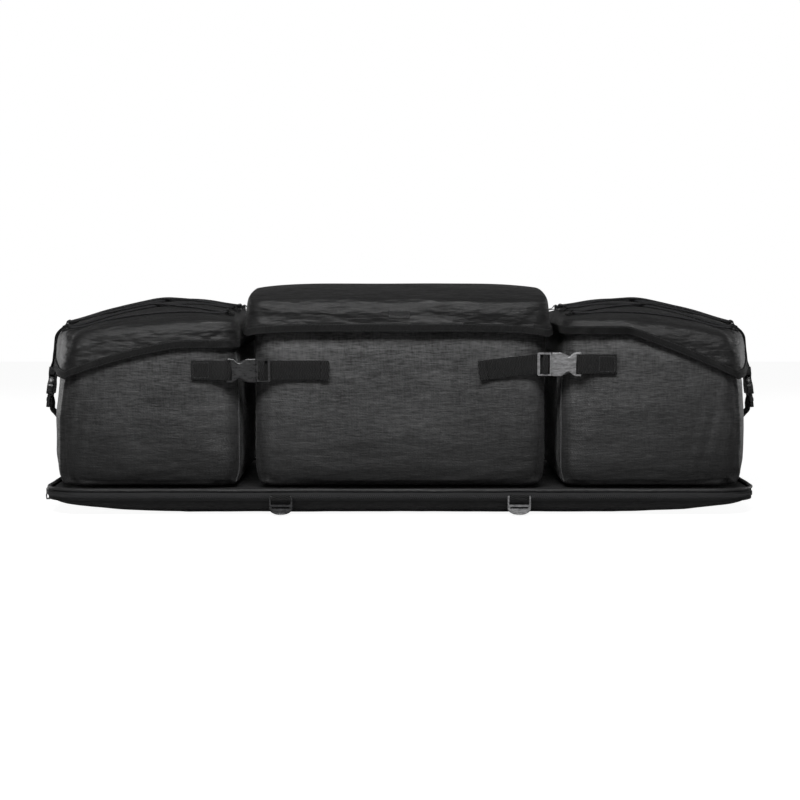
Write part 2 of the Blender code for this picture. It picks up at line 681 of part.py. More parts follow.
def build_end_strap(side, cloth, plastic):
    """The strap that shuts a side lid over the compartment's outer end."""
    word = "left" if side < 0 else "right"
    along = Vector((-side * math.sin(END_BUCKLE_TILT), 0, math.cos(END_BUCKLE_TILT)))
    outward = Vector((side * math.cos(END_BUCKLE_TILT), 0, math.sin(END_BUCKLE_TILT)))
    lift, pitch = CLEARANCE + WEBBING / 2, WEBBING + CLEARANCE
    lid, body = side_lid_form(side), side_form(side)
    lid_face = abs(lid.center_x) + lid.half_x + lid.end_puff
    body_face = abs(body.center_x) + body.half_x + body.end_puff
    top = Vector((side * (body_face + END_BUCKLE_STANDOFF), 0, END_BUCKLE_HEIGHT))
    seat = Seat(top - along * SOCKET_LENGTH, along, outward)

    def beside(face, off, height):
        return seat.local((side * (face + off), 0.0, height))

    def on_lid(u, layer):
        spot = surface_point(lid, u, 0.0, side_top)
        normal = surface_frame(lid, min(u, 0.9), 0.0, side_top)[2]
        return seat.local(spot + normal * (lift + 0.0002 + layer * pitch))

    crest = side_top(1.0, 0.0) - LID_CREST_RADIUS
    bound = side_edge(LEFT_EDGE_INNER)(1.0, 0.0) + BINDING_HEIGHT
    over_binding = CLEARANCE + BINDING_THICKNESS + lift
    first = [on_lid(u, 0) for u in (0.78, 0.86, 0.93)]
    first += [beside(lid_face, lift - 0.0016, crest + 0.0115), beside(lid_face, lift + 0.0002, crest),
              beside(lid_face, lift + 0.0008, bound + 0.0040), beside(lid_face, over_binding, bound)]
    second = [beside(lid_face, over_binding + pitch, bound - 0.0010),
              beside(lid_face, lift + 0.0009 + pitch, bound + 0.0046),
              beside(lid_face, lift + 0.0002 + pitch, crest + 0.0006),
              beside(lid_face, lift - 0.0012 + pitch, crest + 0.0122)]
    second += [on_lid(u, 1) for u in (0.93, 0.86, 0.78)]
    strap = first + [(SOCKET_LENGTH + 0.0060, -0.0027)] + socket_wrap()
    strap += [(SOCKET_LENGTH + 0.0015, 0.0026), (SOCKET_LENGTH + 0.0070, 0.0008)] + second
    ribbon(f"{word}_end_lid_webbing", strap, WEBBING, WEBBING_WIDTH / 2, seat.place, cloth)

    sewn = [(0.0, 0.066), (0.0, 0.104), (0.0019, 0.110), (0.0074, 0.117), (0.0112, 0.1208)]
    webbing = [beside(body_face, lift + off, height) for off, height in sewn] + ladder_wrap()
    hanging = [(0.0124, 0.1192), (0.0087, 0.1156), (0.0035, 0.1090), (0.0018, 0.1037), (0.0018, 0.075)]
    webbing += [beside(body_face, lift + off + 0.0001, height) for off, height in hanging]
    end = beside(body_face, lift + 0.0022, 0.051)
    down = (end - webbing[-1]).normalized()
    webbing += folded_end(end, down, 0.008)
    ribbon(f"{word}_end_body_webbing", webbing, WEBBING, WEBBING_WIDTH / 2, seat.place, cloth)
    build_socket(f"{word}_end_buckle_socket", seat, plastic)
    build_plug(f"{word}_end_buckle_plug", seat, plastic)


def build_lock(name, x, facing, plastic):
    """Ladder-lock: round bar at the top, two rails, a middle bar and a half-moon thumb tab."""
    half, radius = LOCK_HALF_WIDTH, LOCK_BAR_RADIUS
    tab_top, tab_end = LOCK_TAB
    side = [(-half + 0.001, radius), (-half, radius - 0.001), (-half, -tab_top)]
    for step in range(1, 7):
        turn = math.pi / 2 * step / 6
        side.append((-half * math.cos(turn), -tab_top - (tab_end - tab_top) * math.sin(turn)))
    outline = side + [(-x_value, y_value) for x_value, y_value in reversed(side[:-1])]
    frame = prism(outline, -LOCK_HALF_THICKNESS, LOCK_HALF_THICKNESS, 0.0005)
    inner = half - LOCK_RAIL
    bar_top, bar_bottom = LOCK_MIDDLE_BAR
    cutters = [box((-inner, -bar_top, -0.01), (inner, 0.01, 0.01)),
               box((-inner * 0.9, -tab_top, -0.01), (inner * 0.9, -bar_bottom, 0.01))]
    frame = combine(frame, cutters, "DIFFERENCE")
    turns = [math.tau * (step + 0.5) / 12 for step in range(12)]
    bar = prism([(radius * math.cos(turn), radius * math.sin(turn)) for turn in turns],
                -half + LOCK_RAIL / 2, half - LOCK_RAIL / 2)
    bmesh.ops.rotate(bar, verts=bar.verts[:], matrix=Matrix.Rotation(math.pi / 2, 3, "Y"))
    mesh = combine(frame, [bar], "UNION")
    for vert in mesh.verts:
        reach = max(-vert.co.y - tab_top, 0.0) / (tab_end - tab_top)
        vert.co.z += LOCK_TAB_LEAN * reach ** 2
    made = finish(name, mesh, plastic)
    turned = Matrix(((-facing, 0, 0), (0, 0, facing), (0, 1, 0))).to_4x4()
    center = Vector((x, facing * (BASE_HALF_DEPTH + LOCK_STANDOFF), LOCK_BAR_HEIGHT))
    made.matrix_world = Matrix.Translation(center) @ turned
    return made


def build_lock_loop(name, x, facing, cloth):
    """Webbing loop sewn under the zip band that holds a ladder-lock by its top bar."""
    lift = CLEARANCE + WEBBING / 2
    pitch = WEBBING + CLEARANCE
    seam = BASE_BAND_BOTTOM - 0.0006
    back = LOCK_STANDOFF - LOCK_BAR_RADIUS - lift
    front = LOCK_STANDOFF + LOCK_BAR_RADIUS + lift
    bar = (LOCK_BAR_HEIGHT, LOCK_STANDOFF)
    path = [(seam, lift), (seam + 0.0015, lift), (seam + 0.0035, lift + 0.0006),
            (LOCK_BAR_HEIGHT - 0.0050, back)]
    path += around_bar(bar, LOCK_BAR_RADIUS, LOCK_BAR_RADIUS, lift, 3, 4)
    path += [(LOCK_BAR_HEIGHT - LOCK_BAR_RADIUS, front), (LOCK_BAR_HEIGHT - 0.0030, front - 0.0007),
             (LOCK_BAR_HEIGHT - 0.0064, front - 0.0033), (seam + 0.0020, lift + 0.0025),
             (seam, lift + pitch)]

    def place(height, out, across):
        return Vector((x + across, facing * (BASE_HALF_DEPTH + out), height))
    return ribbon(name, path, WEBBING, WEBBING_WIDTH / 2, place, cloth)


def anchor_frame(side, edge, row):
    """Cord centre at one webbing loop, with the way to the near edge, the way rearward, the normal."""
    lid = side_lid_form(side)
    u, v = ANCHOR_U * edge, ANCHOR_ROWS[row]
    outward, rearward, normal = surface_frame(lid, u, v, side_top)
    if rearward.y < 0:
        rearward = -rearward
    lift = 2 * CLEARANCE + LOOP_CLOTH + CORD_RADIUS + 0.0003
    return surface_point(lid, u, v, side_top) + normal * lift, outward * edge, rearward, normal


def build_cord_loop(name, side, edge, row, cloth):
    """Small webbing loop sewn on a side lid, folded round the bungee."""
    center, toward_edge, rearward, normal = anchor_frame(side, edge, row)
    radius = CORD_RADIUS + CLEARANCE + LOOP_CLOTH / 2
    upper = -radius + LOOP_CLOTH + CLEARANCE
    turns = [math.radians(angle) for angle in (270, 225, 180, 135, 90, 45, 10)]
    path = [(LOOP_TAIL, -radius), (0.004, -radius)]
    path += [(radius * math.cos(turn), radius * math.sin(turn)) for turn in turns]
    path += [(0.0050, upper + 0.0004), (0.0064, upper), (LOOP_TAIL, upper)]

    def place(out, up, across):
        return center + toward_edge * out + normal * up + rearward * across
    return ribbon(name, path, LOOP_CLOTH, LOOP_WIDTH / 2, place, cloth)


# The bungee's way round its loops: outer (+1) or inner (-1) edge, row, side it comes in and leaves by
LACING = ((1, 0, 1, -1), (-1, 0, -1, 1), (1, 1, -1, 1), (-1, 2, -1, 1),
          (1, 3, -1, 1), (-1, 3, 1, -1), (1, 2, 1, -1), (-1, 1, 1, -1))
OVER_STRANDS = (1, 3, 6)    # strands that pass over at the three crossings
STRAND_STEPS = ((0.07, 0.0), (0.21, 0.0), (0.36, 0.2), (0.50, 1.0), (0.64, 0.2), (0.79, 0.0), (0.93, 0.0))


def lacing_points(side):
    """Centre line of one bungee: through each loop, then over the lid to the next."""
    lid = side_lid_form(side)
    rest = CORD_RADIUS + CLEARANCE + 0.0011
    crossing = 2 * CORD_RADIUS + 0.0008
    half_loop = LOOP_WIDTH / 2 + 0.0026
    points = []
    for index, (edge, row, entry, leave) in enumerate(LACING):
        center, _, rearward, _ = anchor_frame(side, edge, row)
        points += [center + rearward * (entry * half_loop), center + rearward * (leave * half_loop)]
        next_edge, next_row, next_entry, _ = LACING[(index + 1) % len(LACING)]
        spread = half_loop / lid.half_y
        start = Vector((ANCHOR_U * edge, ANCHOR_ROWS[row] + leave * spread))
        finish_at = Vector((ANCHOR_U * next_edge, ANCHOR_ROWS[next_row] + next_entry * spread))
        for share, bump in STRAND_STEPS:
            u, v = start.lerp(finish_at, share)
            normal = surface_frame(lid, u, v, side_top)[2]
            height = rest + (bump * crossing if index in OVER_STRANDS else 0.0)
            points.append(surface_point(lid, u, v, side_top) + normal * height)
    return points


def build_bungee(name, side, rubber):
    curve = bpy.data.curves.new(name, "CURVE")
    curve.dimensions = "3D"
    curve.bevel_depth = CORD_RADIUS
    curve.bevel_resolution = 2
    curve.use_fill_caps = True
    points = lacing_points(side)
    spline = curve.splines.new("POLY")
    spline.points.add(len(points) - 1)
    for target, point in zip(spline.points, points):
        target.co = (*point, 1.0)
    spline.use_cyclic_u = True
    curve.materials.append(rubber)
    made = bpy.data.objects.new(name, curve)
    bpy.context.scene.collection.objects.link(made)
    return made


def build_patches(cloth):
    """Hook and loop strips that hold the centre valance down, between it and the compartment."""
    form = center_form()
    half, thickness = 0.055, 0.0021
    low = CENTER_VALANCE_EDGE + 0.0015
    high = CENTER_CREST - LID_CLOTH - LID_CREST_RADIUS - 0.0012
    wall = front_wall(form, 0.0)
    first = wall - CLEARANCE
    second = first - thickness - CLEARANCE
    for name, face in (("body_loop_strip", first), ("lid_hook_strip", second)):
        finish(name, box((-half, face - thickness, low), (half, face, high)), cloth)


def build():
    clear_scene()
    bag = material("bag_cloth", (0.055, 0.055, 0.058), 0.75)
    edge = material("webbing", (0.022, 0.022, 0.024), 0.8)
    plastic = material("buckle_plastic", (0.05, 0.05, 0.053), 0.35)
    rubber = material("bungee", (0.03, 0.03, 0.032), 0.7)
    metal = material("zip_metal", (0.12, 0.12, 0.12), 0.4, 0.8)
    coil = material("zip_coil", (0.03, 0.03, 0.03), 0.45)

    build_base(bag)
    build_piping(edge)
    zip_strip("zip_tape", CLEARANCE, ZIP_TAPE_THICKNESS, ZIP_TAPE_WIDTH, 0.0, edge)
    zip_strip("zip_coil", tape_face() + CLEARANCE, ZIP_COIL_THICKNESS, ZIP_COIL_WIDTH, 0.0008, coil)
    build_slider(metal)
    build_pull(metal)

    build_body("center_compartment", center_form(), center_top, bag)
    build_lid("center_lid", center_lid_form(), center_top, center_edge, bag)
    build_binding("center_lid_binding", center_lid_form(), center_edge, edge)
    build_patches(edge)
    for side, word, inner_edge in ((-1, "left", LEFT_EDGE_INNER), (1, "right", RIGHT_EDGE_INNER)):
        build_body(f"{word}_compartment", side_form(side), side_top, bag)
        build_lid(f"{word}_lid", side_lid_form(side), side_top, side_edge(inner_edge), bag)
        build_binding(f"{word}_lid_binding", side_lid_form(side), side_edge(inner_edge), edge)
        build_front_strap(side, edge, plastic)
        build_end_strap(side, edge, plastic)
        build_bungee(f"{word}_bungee", side, rubber)
        for edge_word, edge_sign in (("outer", 1), ("inner", -1)):
            for row in range(len(ANCHOR_ROWS)):
                build_cord_loop(f"{word}_{edge_word}_cord_loop_{row + 1}", side, edge_sign, row, edge)
        for facing, end_word in ((-1, "front"), (1, "rear")):
            build_lock(f"{word}_{end_word}_ladder_lock", side * LOCK_X, facing, plastic)
            build_lock_loop(f"{word}_{end_word}_lock_loop", side * LOCK_X, facing, edge)


build()
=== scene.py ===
import math

import bmesh
import bpy
from mathutils import Matrix, Vector, noise
from mathutils.bvhtree import BVHTree


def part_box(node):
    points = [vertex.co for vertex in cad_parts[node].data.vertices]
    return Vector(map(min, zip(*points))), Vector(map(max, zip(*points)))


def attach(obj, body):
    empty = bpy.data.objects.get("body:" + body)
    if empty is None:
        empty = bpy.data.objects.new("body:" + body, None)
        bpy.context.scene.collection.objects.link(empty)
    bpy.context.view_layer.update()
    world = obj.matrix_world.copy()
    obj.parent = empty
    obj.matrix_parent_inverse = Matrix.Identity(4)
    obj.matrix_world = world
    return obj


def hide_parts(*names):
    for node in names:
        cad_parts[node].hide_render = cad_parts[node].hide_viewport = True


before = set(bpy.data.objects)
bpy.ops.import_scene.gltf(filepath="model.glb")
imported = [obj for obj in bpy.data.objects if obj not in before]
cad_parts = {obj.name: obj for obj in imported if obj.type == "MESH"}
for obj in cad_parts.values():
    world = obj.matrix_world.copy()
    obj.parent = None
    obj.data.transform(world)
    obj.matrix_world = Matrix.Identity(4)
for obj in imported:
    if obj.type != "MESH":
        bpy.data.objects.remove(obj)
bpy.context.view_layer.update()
print("cargo bag: frame loaded")


# Node and material helpers
def put(tree, kind, settings=None, **values):
    node = tree.nodes.new(kind)
    for name, value in (settings or {}).items():
        setattr(node, name, value)
    for name, value in values.items():
        plug(tree, node.inputs[name.replace("_", " ")], value)
    return node


def plug(tree, socket, value):
    if isinstance(value, bpy.types.NodeSocket):
        tree.links.new(value, socket)
    else:
        socket.default_value = value


def calc(tree, operation, first, second=0.0):
    node = tree.nodes.new("ShaderNodeMath")
    node.operation = operation
    plug(tree, node.inputs[0], first)
    plug(tree, node.inputs[1], second)
    return node.outputs[0]


def weigh(tree, first, second, shares):
    return calc(tree, "ADD", calc(tree, "MULTIPLY", first, shares[0]), calc(tree, "MULTIPLY", second, shares[1]))


def remap(tree, value, low, high, toLow, toHigh):
    node = put(tree, "ShaderNodeMapRange", {"clamp": True}, Value=value)
    for name, limit in (("From Min", low), ("From Max", high), ("To Min", toLow), ("To Max", toHigh)):
        plug(tree, node.inputs[name], limit)
    return node.outputs["Result"]


def noiseField(tree, vector, stretch, detail=2.0):
    stretched = put(tree, "ShaderNodeMapping", None, Vector=vector, Scale=stretch)
    return put(tree, "ShaderNodeTexNoise", None, Vector=stretched.outputs[0], Scale=1.0, Detail=detail,
               Roughness=0.55).outputs["Fac"]


def newGroup(name, inputs, outputs):
    # An input of None is a vector; every other input, and every output, is a number
    group = bpy.data.node_groups.new(name, "ShaderNodeTree")
    for label, value in inputs.items():
        kind = "NodeSocketVector" if value is None else "NodeSocketFloat"
        made = group.interface.new_socket(name=label, in_out="INPUT", socket_type=kind)
        if value is not None:
            made.default_value = value
    for label in outputs:
        group.interface.new_socket(name=label, in_out="OUTPUT", socket_type="NodeSocketFloat")
    return group, group.nodes.new("NodeGroupInput").outputs, group.nodes.new("NodeGroupOutput").inputs


# Plain weave with slubs along and across it, and slow patches; stretches are per metre
weaveLook = {"slubs": (85, 85, 680), "crossSlubs": (420, 420, 70), "slubShares": (0.70, 0.32),
             "patches": (9, 9, 13), "topFrom": (0.55, 0.75)}


def makeClothWeave(look):
    group, given, out = newGroup("clothWeave", {"Vector": None, "Facing": None, "Pitch": 0.0009},
                                 ("Height", "Slub", "Patch"))
    where = given["Vector"]
    xyz = put(group, "ShaderNodeSeparateXYZ", None, Vector=where).outputs
    way = put(group, "ShaderNodeSeparateXYZ", None, Vector=given["Facing"]).outputs
    rate = calc(group, "DIVIDE", math.pi, given["Pitch"])

    def wave(value):
        return calc(group, "SINE", calc(group, "MULTIPLY", value, rate))
    wall = calc(group, "MULTIPLY", wave(calc(group, "ADD", xyz["X"], xyz["Y"])), wave(xyz["Z"]))
    top = calc(group, "MULTIPLY", wave(xyz["X"]), wave(xyz["Y"]))
    upward = remap(group, calc(group, "ABSOLUTE", way["Z"]), *look["topFrom"], 0.0, 1.0)
    weave = put(group, "ShaderNodeMix", {"data_type": "FLOAT"})
    for index, value in ((0, upward), (2, wall), (3, top)):
        plug(group, weave.inputs[index], value)
    plug(group, out["Height"], weave.outputs[0])
    plug(group, out["Slub"], weigh(group, noiseField(group, where, look["slubs"], 3.0),
                                   noiseField(group, where, look["crossSlubs"]), look["slubShares"]))
    plug(group, out["Patch"], noiseField(group, where, look["patches"], 3.0))
    return group


# Cross ribs with a slight chevron; their map runs in metres, along and across
ribLook = {"chevron": 0.35, "lengthwise": 0.0012, "lengthwiseShare": 0.25, "ribShade": 0.7, "fuzzShade": 0.3,
           "fuzz": (700, 160, 1)}


def makeStrapRibs(look):
    group, given, out = newGroup("strapRibs", {"Vector": None, "Rib": 0.0021, "Lane": 0.0042}, ("Height", "Shade"))
    uv = put(group, "ShaderNodeSeparateXYZ", None, Vector=given["Vector"]).outputs
    lane = calc(group, "PINGPONG", uv["Y"], given["Lane"])
    shifted = calc(group, "ADD", uv["X"], calc(group, "MULTIPLY", lane, look["chevron"]))
    rib = calc(group, "SINE", calc(group, "DIVIDE", calc(group, "MULTIPLY", shifted, math.tau), given["Rib"]))
    across = calc(group, "SINE", calc(group, "MULTIPLY", uv["Y"], math.tau / look["lengthwise"]))
    fuzz = noiseField(group, given["Vector"], look["fuzz"])
    plug(group, out["Height"], calc(group, "ADD", rib, calc(group, "MULTIPLY", across, look["lengthwiseShare"])))
    plug(group, out["Shade"], calc(group, "ADD", remap(group, rib, -1.0, 1.0, 0.0, look["ribShade"]),
                                   calc(group, "MULTIPLY", fuzz, look["fuzzShade"])))
    return group


def makeStitchRow(stitchShare=0.72):
    # Dashes of thread in a row at a given distance across the strip
    group, given, out = newGroup("stitchRow", {"Vector": None, "Row": 0.002, "Pitch": 0.0034, "Half Width": 0.00032},
                                 ("Mask",))
    uv = put(group, "ShaderNodeSeparateXYZ", None, Vector=given["Vector"]).outputs
    off = calc(group, "ABSOLUTE", calc(group, "SUBTRACT", uv["Y"], given["Row"]))
    inRow = calc(group, "LESS_THAN", off, given["Half Width"])
    step = calc(group, "FRACT", calc(group, "DIVIDE", uv["X"], given["Pitch"]))
    plug(group, out["Mask"], calc(group, "MULTIPLY", inRow, calc(group, "LESS_THAN", step, stitchShare)))
    return group


def makeMouldGrain(markStretch=(160, 160, 420)):
    # Fine moulded grain and dull handling marks, for plastic and for the plated zip parts
    group, given, out = newGroup("mouldGrain", {"Vector": None, "Grain": 2600.0}, ("Height", "Marks"))
    scaled = put(group, "ShaderNodeVectorMath", {"operation": "SCALE"}, Vector=given["Vector"])
    plug(group, scaled.inputs["Scale"], given["Grain"])
    grain = put(group, "ShaderNodeTexNoise", None, Vector=scaled.outputs[0], Scale=1.0, Detail=2.0)
    plug(group, out["Height"], grain.outputs["Fac"])
    plug(group, out["Marks"], noiseField(group, given["Vector"], markStretch, 4.0))
    return group


clothWeave, strapRibs = makeClothWeave(weaveLook), makeStrapRibs(ribLook)
stitchRow, mouldGrain = makeStitchRow(), makeMouldGrain()


def useGroup(tree, group, **values):
    return put(tree, "ShaderNodeGroup", {"node_tree": group}, **values).outputs


def startMaterial(name, **values):
    # The values go on the shader's own sockets
    made = bpy.data.materials.new(name)
    made.use_nodes = True
    shader = made.node_tree.nodes["Principled BSDF"]
    for label, value in values.items():
        shader.inputs[label.replace("_", " ")].default_value = value
    return made, made.node_tree, shader


def blendColor(tree, factor, dark, light):
    mix = put(tree, "ShaderNodeMix", {"data_type": "RGBA"})
    plug(tree, mix.inputs[0], factor)
    for index, color in ((6, dark), (7, light)):
        plug(tree, mix.inputs[index], color if isinstance(color, bpy.types.NodeSocket) else (*color, 1.0))
    return mix.outputs[2]


def bump(tree, shader, height, distance):
    node = put(tree, "ShaderNodeBump", None, Height=height, Distance=distance, Strength=1.0)
    plug(tree, shader.inputs["Normal"], node.outputs[0])


def bagPlace(tree):
    return put(tree, "ShaderNodeTexCoord").outputs["Object"]


def stripPlace(tree):
    return put(tree, "ShaderNodeUVMap", {"uv_map": "cloth"}).outputs[0]


# Cloth of the bag; sheen lifts it where the light grazes, and its colour is darkened from one height down to another,
# a painted shade for the light falling off toward its foot
evenShade = (0.0, 0.1, 1.0)
bagCloth = {"dark": (0.006, 0.006, 0.0062), "light": (0.085, 0.085, 0.086), "pitch": 0.0009, "bump": 0.00035,
            "roughness": (0.40, 0.60), "sheen": 0.08, "shades": (0.7, 0.3), "contrast": (0.38, 0.62),
            "lifts": (0.35, 1.3), "wrinkle": 9.0, "wrinkleStretch": (13, 13, 42), "fade": (0.070, 0.235, 0.20)}
clothLooks = {
    "bagCloth": {},
    "lidCloth": {"dark": (0.003, 0.003, 0.0032), "light": (0.0115, 0.0115, 0.0118), "wrinkle": 30.0,
                 "fade": evenShade},
    "baseCloth": {"dark": (0.004, 0.004, 0.0043), "light": (0.020, 0.020, 0.021), "wrinkle": 14.0,
                  "fade": evenShade},
    "pipingCloth": {"dark": (0.010, 0.010, 0.0105), "light": (0.036, 0.036, 0.037), "fade": evenShade},
    "weltCloth": {"dark": (0.040, 0.040, 0.041), "light": (0.090, 0.090, 0.092)},
    "threadCloth": {"dark": (0.030, 0.030, 0.031), "light": (0.070, 0.070, 0.072), "pitch": 0.0004},
}


def makeCloth(name, look):
    made, tree, shader = startMaterial(name, Sheen_Weight=look["sheen"], Sheen_Roughness=0.45,
                                       Specular_IOR_Level=0.5)
    where = put(tree, "ShaderNodeTexCoord").outputs
    weave = useGroup(tree, clothWeave, Vector=where["Object"], Facing=where["Normal"], Pitch=look["pitch"])
    shade = remap(tree, weigh(tree, weave["Slub"], weave["Patch"], look["shades"]), *look["contrast"], 0.0, 1.0)
    height = put(tree, "ShaderNodeSeparateXYZ", None, Vector=where["Object"]).outputs["Z"]
    # Painted shade: the colour darkens toward the bottom by height, standing in for the light that falls off there
    shade = calc(tree, "MULTIPLY", shade, remap(tree, height, *look["fade"], 1.0))
    plug(tree, shader.inputs["Base Color"], blendColor(tree, shade, look["dark"], look["light"]))
    smooth, rough = look["roughness"]
    plug(tree, shader.inputs["Roughness"], remap(tree, weave["Slub"], 0.3, 0.7, rough, smooth))
    wrinkles = noiseField(tree, where["Object"], look["wrinkleStretch"], 3.0)
    bump(tree, shader, calc(tree, "ADD", weigh(tree, weave["Height"], weave["Slub"], look["lifts"]),
                            calc(tree, "MULTIPLY", wrinkles, look["wrinkle"])), look["bump"])
    return made


# Ribbed webbing: straps, bindings and loops
strapCloth = {"dark": (0.0015, 0.0015, 0.0017), "light": (0.027, 0.027, 0.0275), "rib": 0.0021, "bump": 0.0009,
              "roughness": 0.62, "ribRoughness": 0.12, "sheen": 0.05, "thread": (0.05, 0.05, 0.052),
              "threadLift": 1.6}


def makeStrap(name, look, rows=()):
    made, tree, shader = startMaterial(name, Sheen_Weight=look["sheen"], Sheen_Roughness=0.5,
                                       Specular_IOR_Level=0.3)
    along = stripPlace(tree)
    ribs = useGroup(tree, strapRibs, Vector=along, Rib=look["rib"])
    color = blendColor(tree, ribs["Shade"], look["dark"], look["light"])
    height = ribs["Height"]
    for row in rows:
        stitch = useGroup(tree, stitchRow, Vector=along, Row=row)["Mask"]
        color = blendColor(tree, stitch, color, look["thread"])
        height = calc(tree, "ADD", height, calc(tree, "MULTIPLY", stitch, look["threadLift"]))
    plug(tree, shader.inputs["Base Color"], color)
    plug(tree, shader.inputs["Roughness"], remap(tree, ribs["Shade"], 0.0, 1.0,
                                                 look["roughness"] + look["ribRoughness"], look["roughness"]))
    bump(tree, shader, height, look["bump"])
    return made


# Braided cover of the bungee
bungeeBraid = {"dark": (0.006, 0.006, 0.007), "light": (0.030, 0.030, 0.032), "pitch": 0.0022, "strands": 4,
               "girth": 0.0113, "roughness": (0.6, 0.8), "bump": 0.0003}


def makeBraid(name, look):
    made, tree, shader = startMaterial(name)
    uv = put(tree, "ShaderNodeSeparateXYZ", None, Vector=stripPlace(tree)).outputs
    along = calc(tree, "MULTIPLY", uv["X"], math.tau / look["pitch"])
    around = calc(tree, "MULTIPLY", uv["Y"], math.tau * look["strands"] / look["girth"])
    over, under = (calc(tree, "SINE", calc(tree, way, along, around)) for way in ("ADD", "SUBTRACT"))
    weave = calc(tree, "MULTIPLY", over, under)
    shade = remap(tree, weave, -1.0, 1.0, 0.0, 1.0)
    smooth, rough = look["roughness"]
    plug(tree, shader.inputs["Base Color"], blendColor(tree, shade, look["dark"], look["light"]))
    plug(tree, shader.inputs["Roughness"], remap(tree, shade, 0.0, 1.0, rough, smooth))
    bump(tree, shader, weave, look["bump"])
    return made


# Moulded buckles, of which the right front one and its ladder-lock are painted paler, a painted highlight where the
# light falls on them; coil, and plated zip parts
mouldLooks = {
    "bucklePlastic": {"color": (0.018, 0.018, 0.0185), "worn": (0.042, 0.042, 0.043), "roughness": (0.24, 0.38)},
    "paintedLitPlastic": {"color": (0.150, 0.150, 0.153), "worn": (0.290, 0.290, 0.295), "roughness": (0.24, 0.40)},
    "lockPlastic": {"color": (0.016, 0.016, 0.0165), "worn": (0.050, 0.050, 0.052), "roughness": (0.20, 0.34)},
    "zipCoil": {"color": (0.022, 0.022, 0.023), "worn": (0.050, 0.050, 0.052), "roughness": (0.34, 0.50),
                "grain": 1800.0, "marks": None, "bump": None},
    "zipMetal": {"color": (0.16, 0.16, 0.165), "worn": (0.38, 0.38, 0.39), "roughness": (0.25, 0.45),
                 "grain": 1500.0, "marks": (0.45, 0.65), "bump": 0.00004, "metallic": 0.9},
}
mouldBase = {"grain": 2600.0, "marks": (0.42, 0.68), "bump": 0.00006, "metallic": 0.0}


def makeMoulded(name, look):
    made, tree, shader = startMaterial(name, Metallic=look["metallic"])
    grain = useGroup(tree, mouldGrain, Vector=bagPlace(tree), Grain=look["grain"])
    marks = remap(tree, grain["Marks"], *look["marks"], 0.0, 1.0) if look["marks"] else grain["Marks"]
    plug(tree, shader.inputs["Base Color"], blendColor(tree, marks, look["color"], look["worn"]))
    plug(tree, shader.inputs["Roughness"], remap(tree, grain["Marks"], 0.3, 0.7, *look["roughness"]))
    if look["bump"]:
        bump(tree, shader, grain["Height"], look["bump"])
    return made


# Woven zip tape, and the hook and loop strips inside the centre valance
tapeLook = {"dark": (0.010, 0.010, 0.011), "light": (0.026, 0.026, 0.027), "rib": 0.0011, "lane": 0.0016,
            "bump": 0.00015}
fuzzLook = {"hooks": (0.035, 0.035, 0.036), "between": (0.010, 0.010, 0.011), "scale": 900.0, "bump": 0.0008}


def makeTape(name, look):
    made, tree, shader = startMaterial(name, Roughness=0.82)
    ribs = useGroup(tree, strapRibs, Vector=stripPlace(tree), Rib=look["rib"], Lane=look["lane"])
    plug(tree, shader.inputs["Base Color"], blendColor(tree, ribs["Shade"], look["dark"], look["light"]))
    bump(tree, shader, ribs["Height"], look["bump"])
    return made


def makeFuzz(name, look):
    made, tree, shader = startMaterial(name, Roughness=0.9)
    dots = put(tree, "ShaderNodeTexVoronoi", None, Vector=bagPlace(tree), Scale=look["scale"]).outputs["Distance"]
    plug(tree, shader.inputs["Base Color"], blendColor(tree, dots, look["hooks"], look["between"]))
    bump(tree, shader, dots, look["bump"])
    return made


cloths = {name: makeCloth(name, {**bagCloth, **look}) for name, look in clothLooks.items()}
strap = makeStrap("strapWebbing", strapCloth)
bindingStrap = makeStrap("bindingWebbing", {**strapCloth, "light": (0.012, 0.012, 0.0123), "rib": 0.0017},
                         rows=(0.0012, 0.0092))
braid = makeBraid("bungeeBraid", bungeeBraid)
moulded = {name: makeMoulded(name, {**mouldBase, **look}) for name, look in mouldLooks.items()}
tape, fuzz = makeTape("zipTape", tapeLook), makeFuzz("hookAndLoop", fuzzLook)
print("cargo bag: materials ready")


# Plan shapes of the pieces: rounded boxes that swell at the outer end and the front
def planForm(centerX, halfX, halfY, corner, endPuff=0.0, frontPuff=0.0, side=1, bow=0.0):
    return {"centerX": centerX, "side": side, "halfX": halfX, "halfY": halfY, "corner": corner,
            "endPuff": endPuff, "frontPuff": frontPuff, "bow": bow}


def sideForm(side, grow, bow=0.0):
    return planForm(side * 0.3265, 0.1135 + grow, 0.200 + grow, 0.020 + grow, 0.027, 0.004, side, bow)


baseForm = planForm(0.0, 0.460, 0.210, 0.060)
centerLidForm = planForm(-0.003, 0.200, 0.210, 0.026, frontPuff=0.006)
lidGrow = 0.0055


def planPoint(form, u, v, grow=0.0):
    scale = max(abs(u), abs(v), 1e-6)
    halfX, halfY, corner = form["halfX"] + grow, form["halfY"] + grow, form["corner"] + grow
    x, y = halfX * u / scale, halfY * v / scale
    pastX, pastY = abs(x) - (halfX - corner), abs(y) - (halfY - corner)
    if pastX > 0 and pastY > 0:
        far = math.hypot(pastX, pastY)
        x = math.copysign(halfX - corner + corner * pastX / far, x)
        y = math.copysign(halfY - corner + corner * pastY / far, y)
    atX, atY = x / halfX, y / halfY
    x += form["endPuff"] * max(atX, 0.0) ** 2 * (1 - atY * atY)
    x -= form["bow"] * max(atX, 0.0) ** 3 * abs(atY)
    y += math.copysign(form["frontPuff"] * atY * atY * (1 - atX * atX), atY)
    return form["centerX"] + form["side"] * x * scale, y * scale


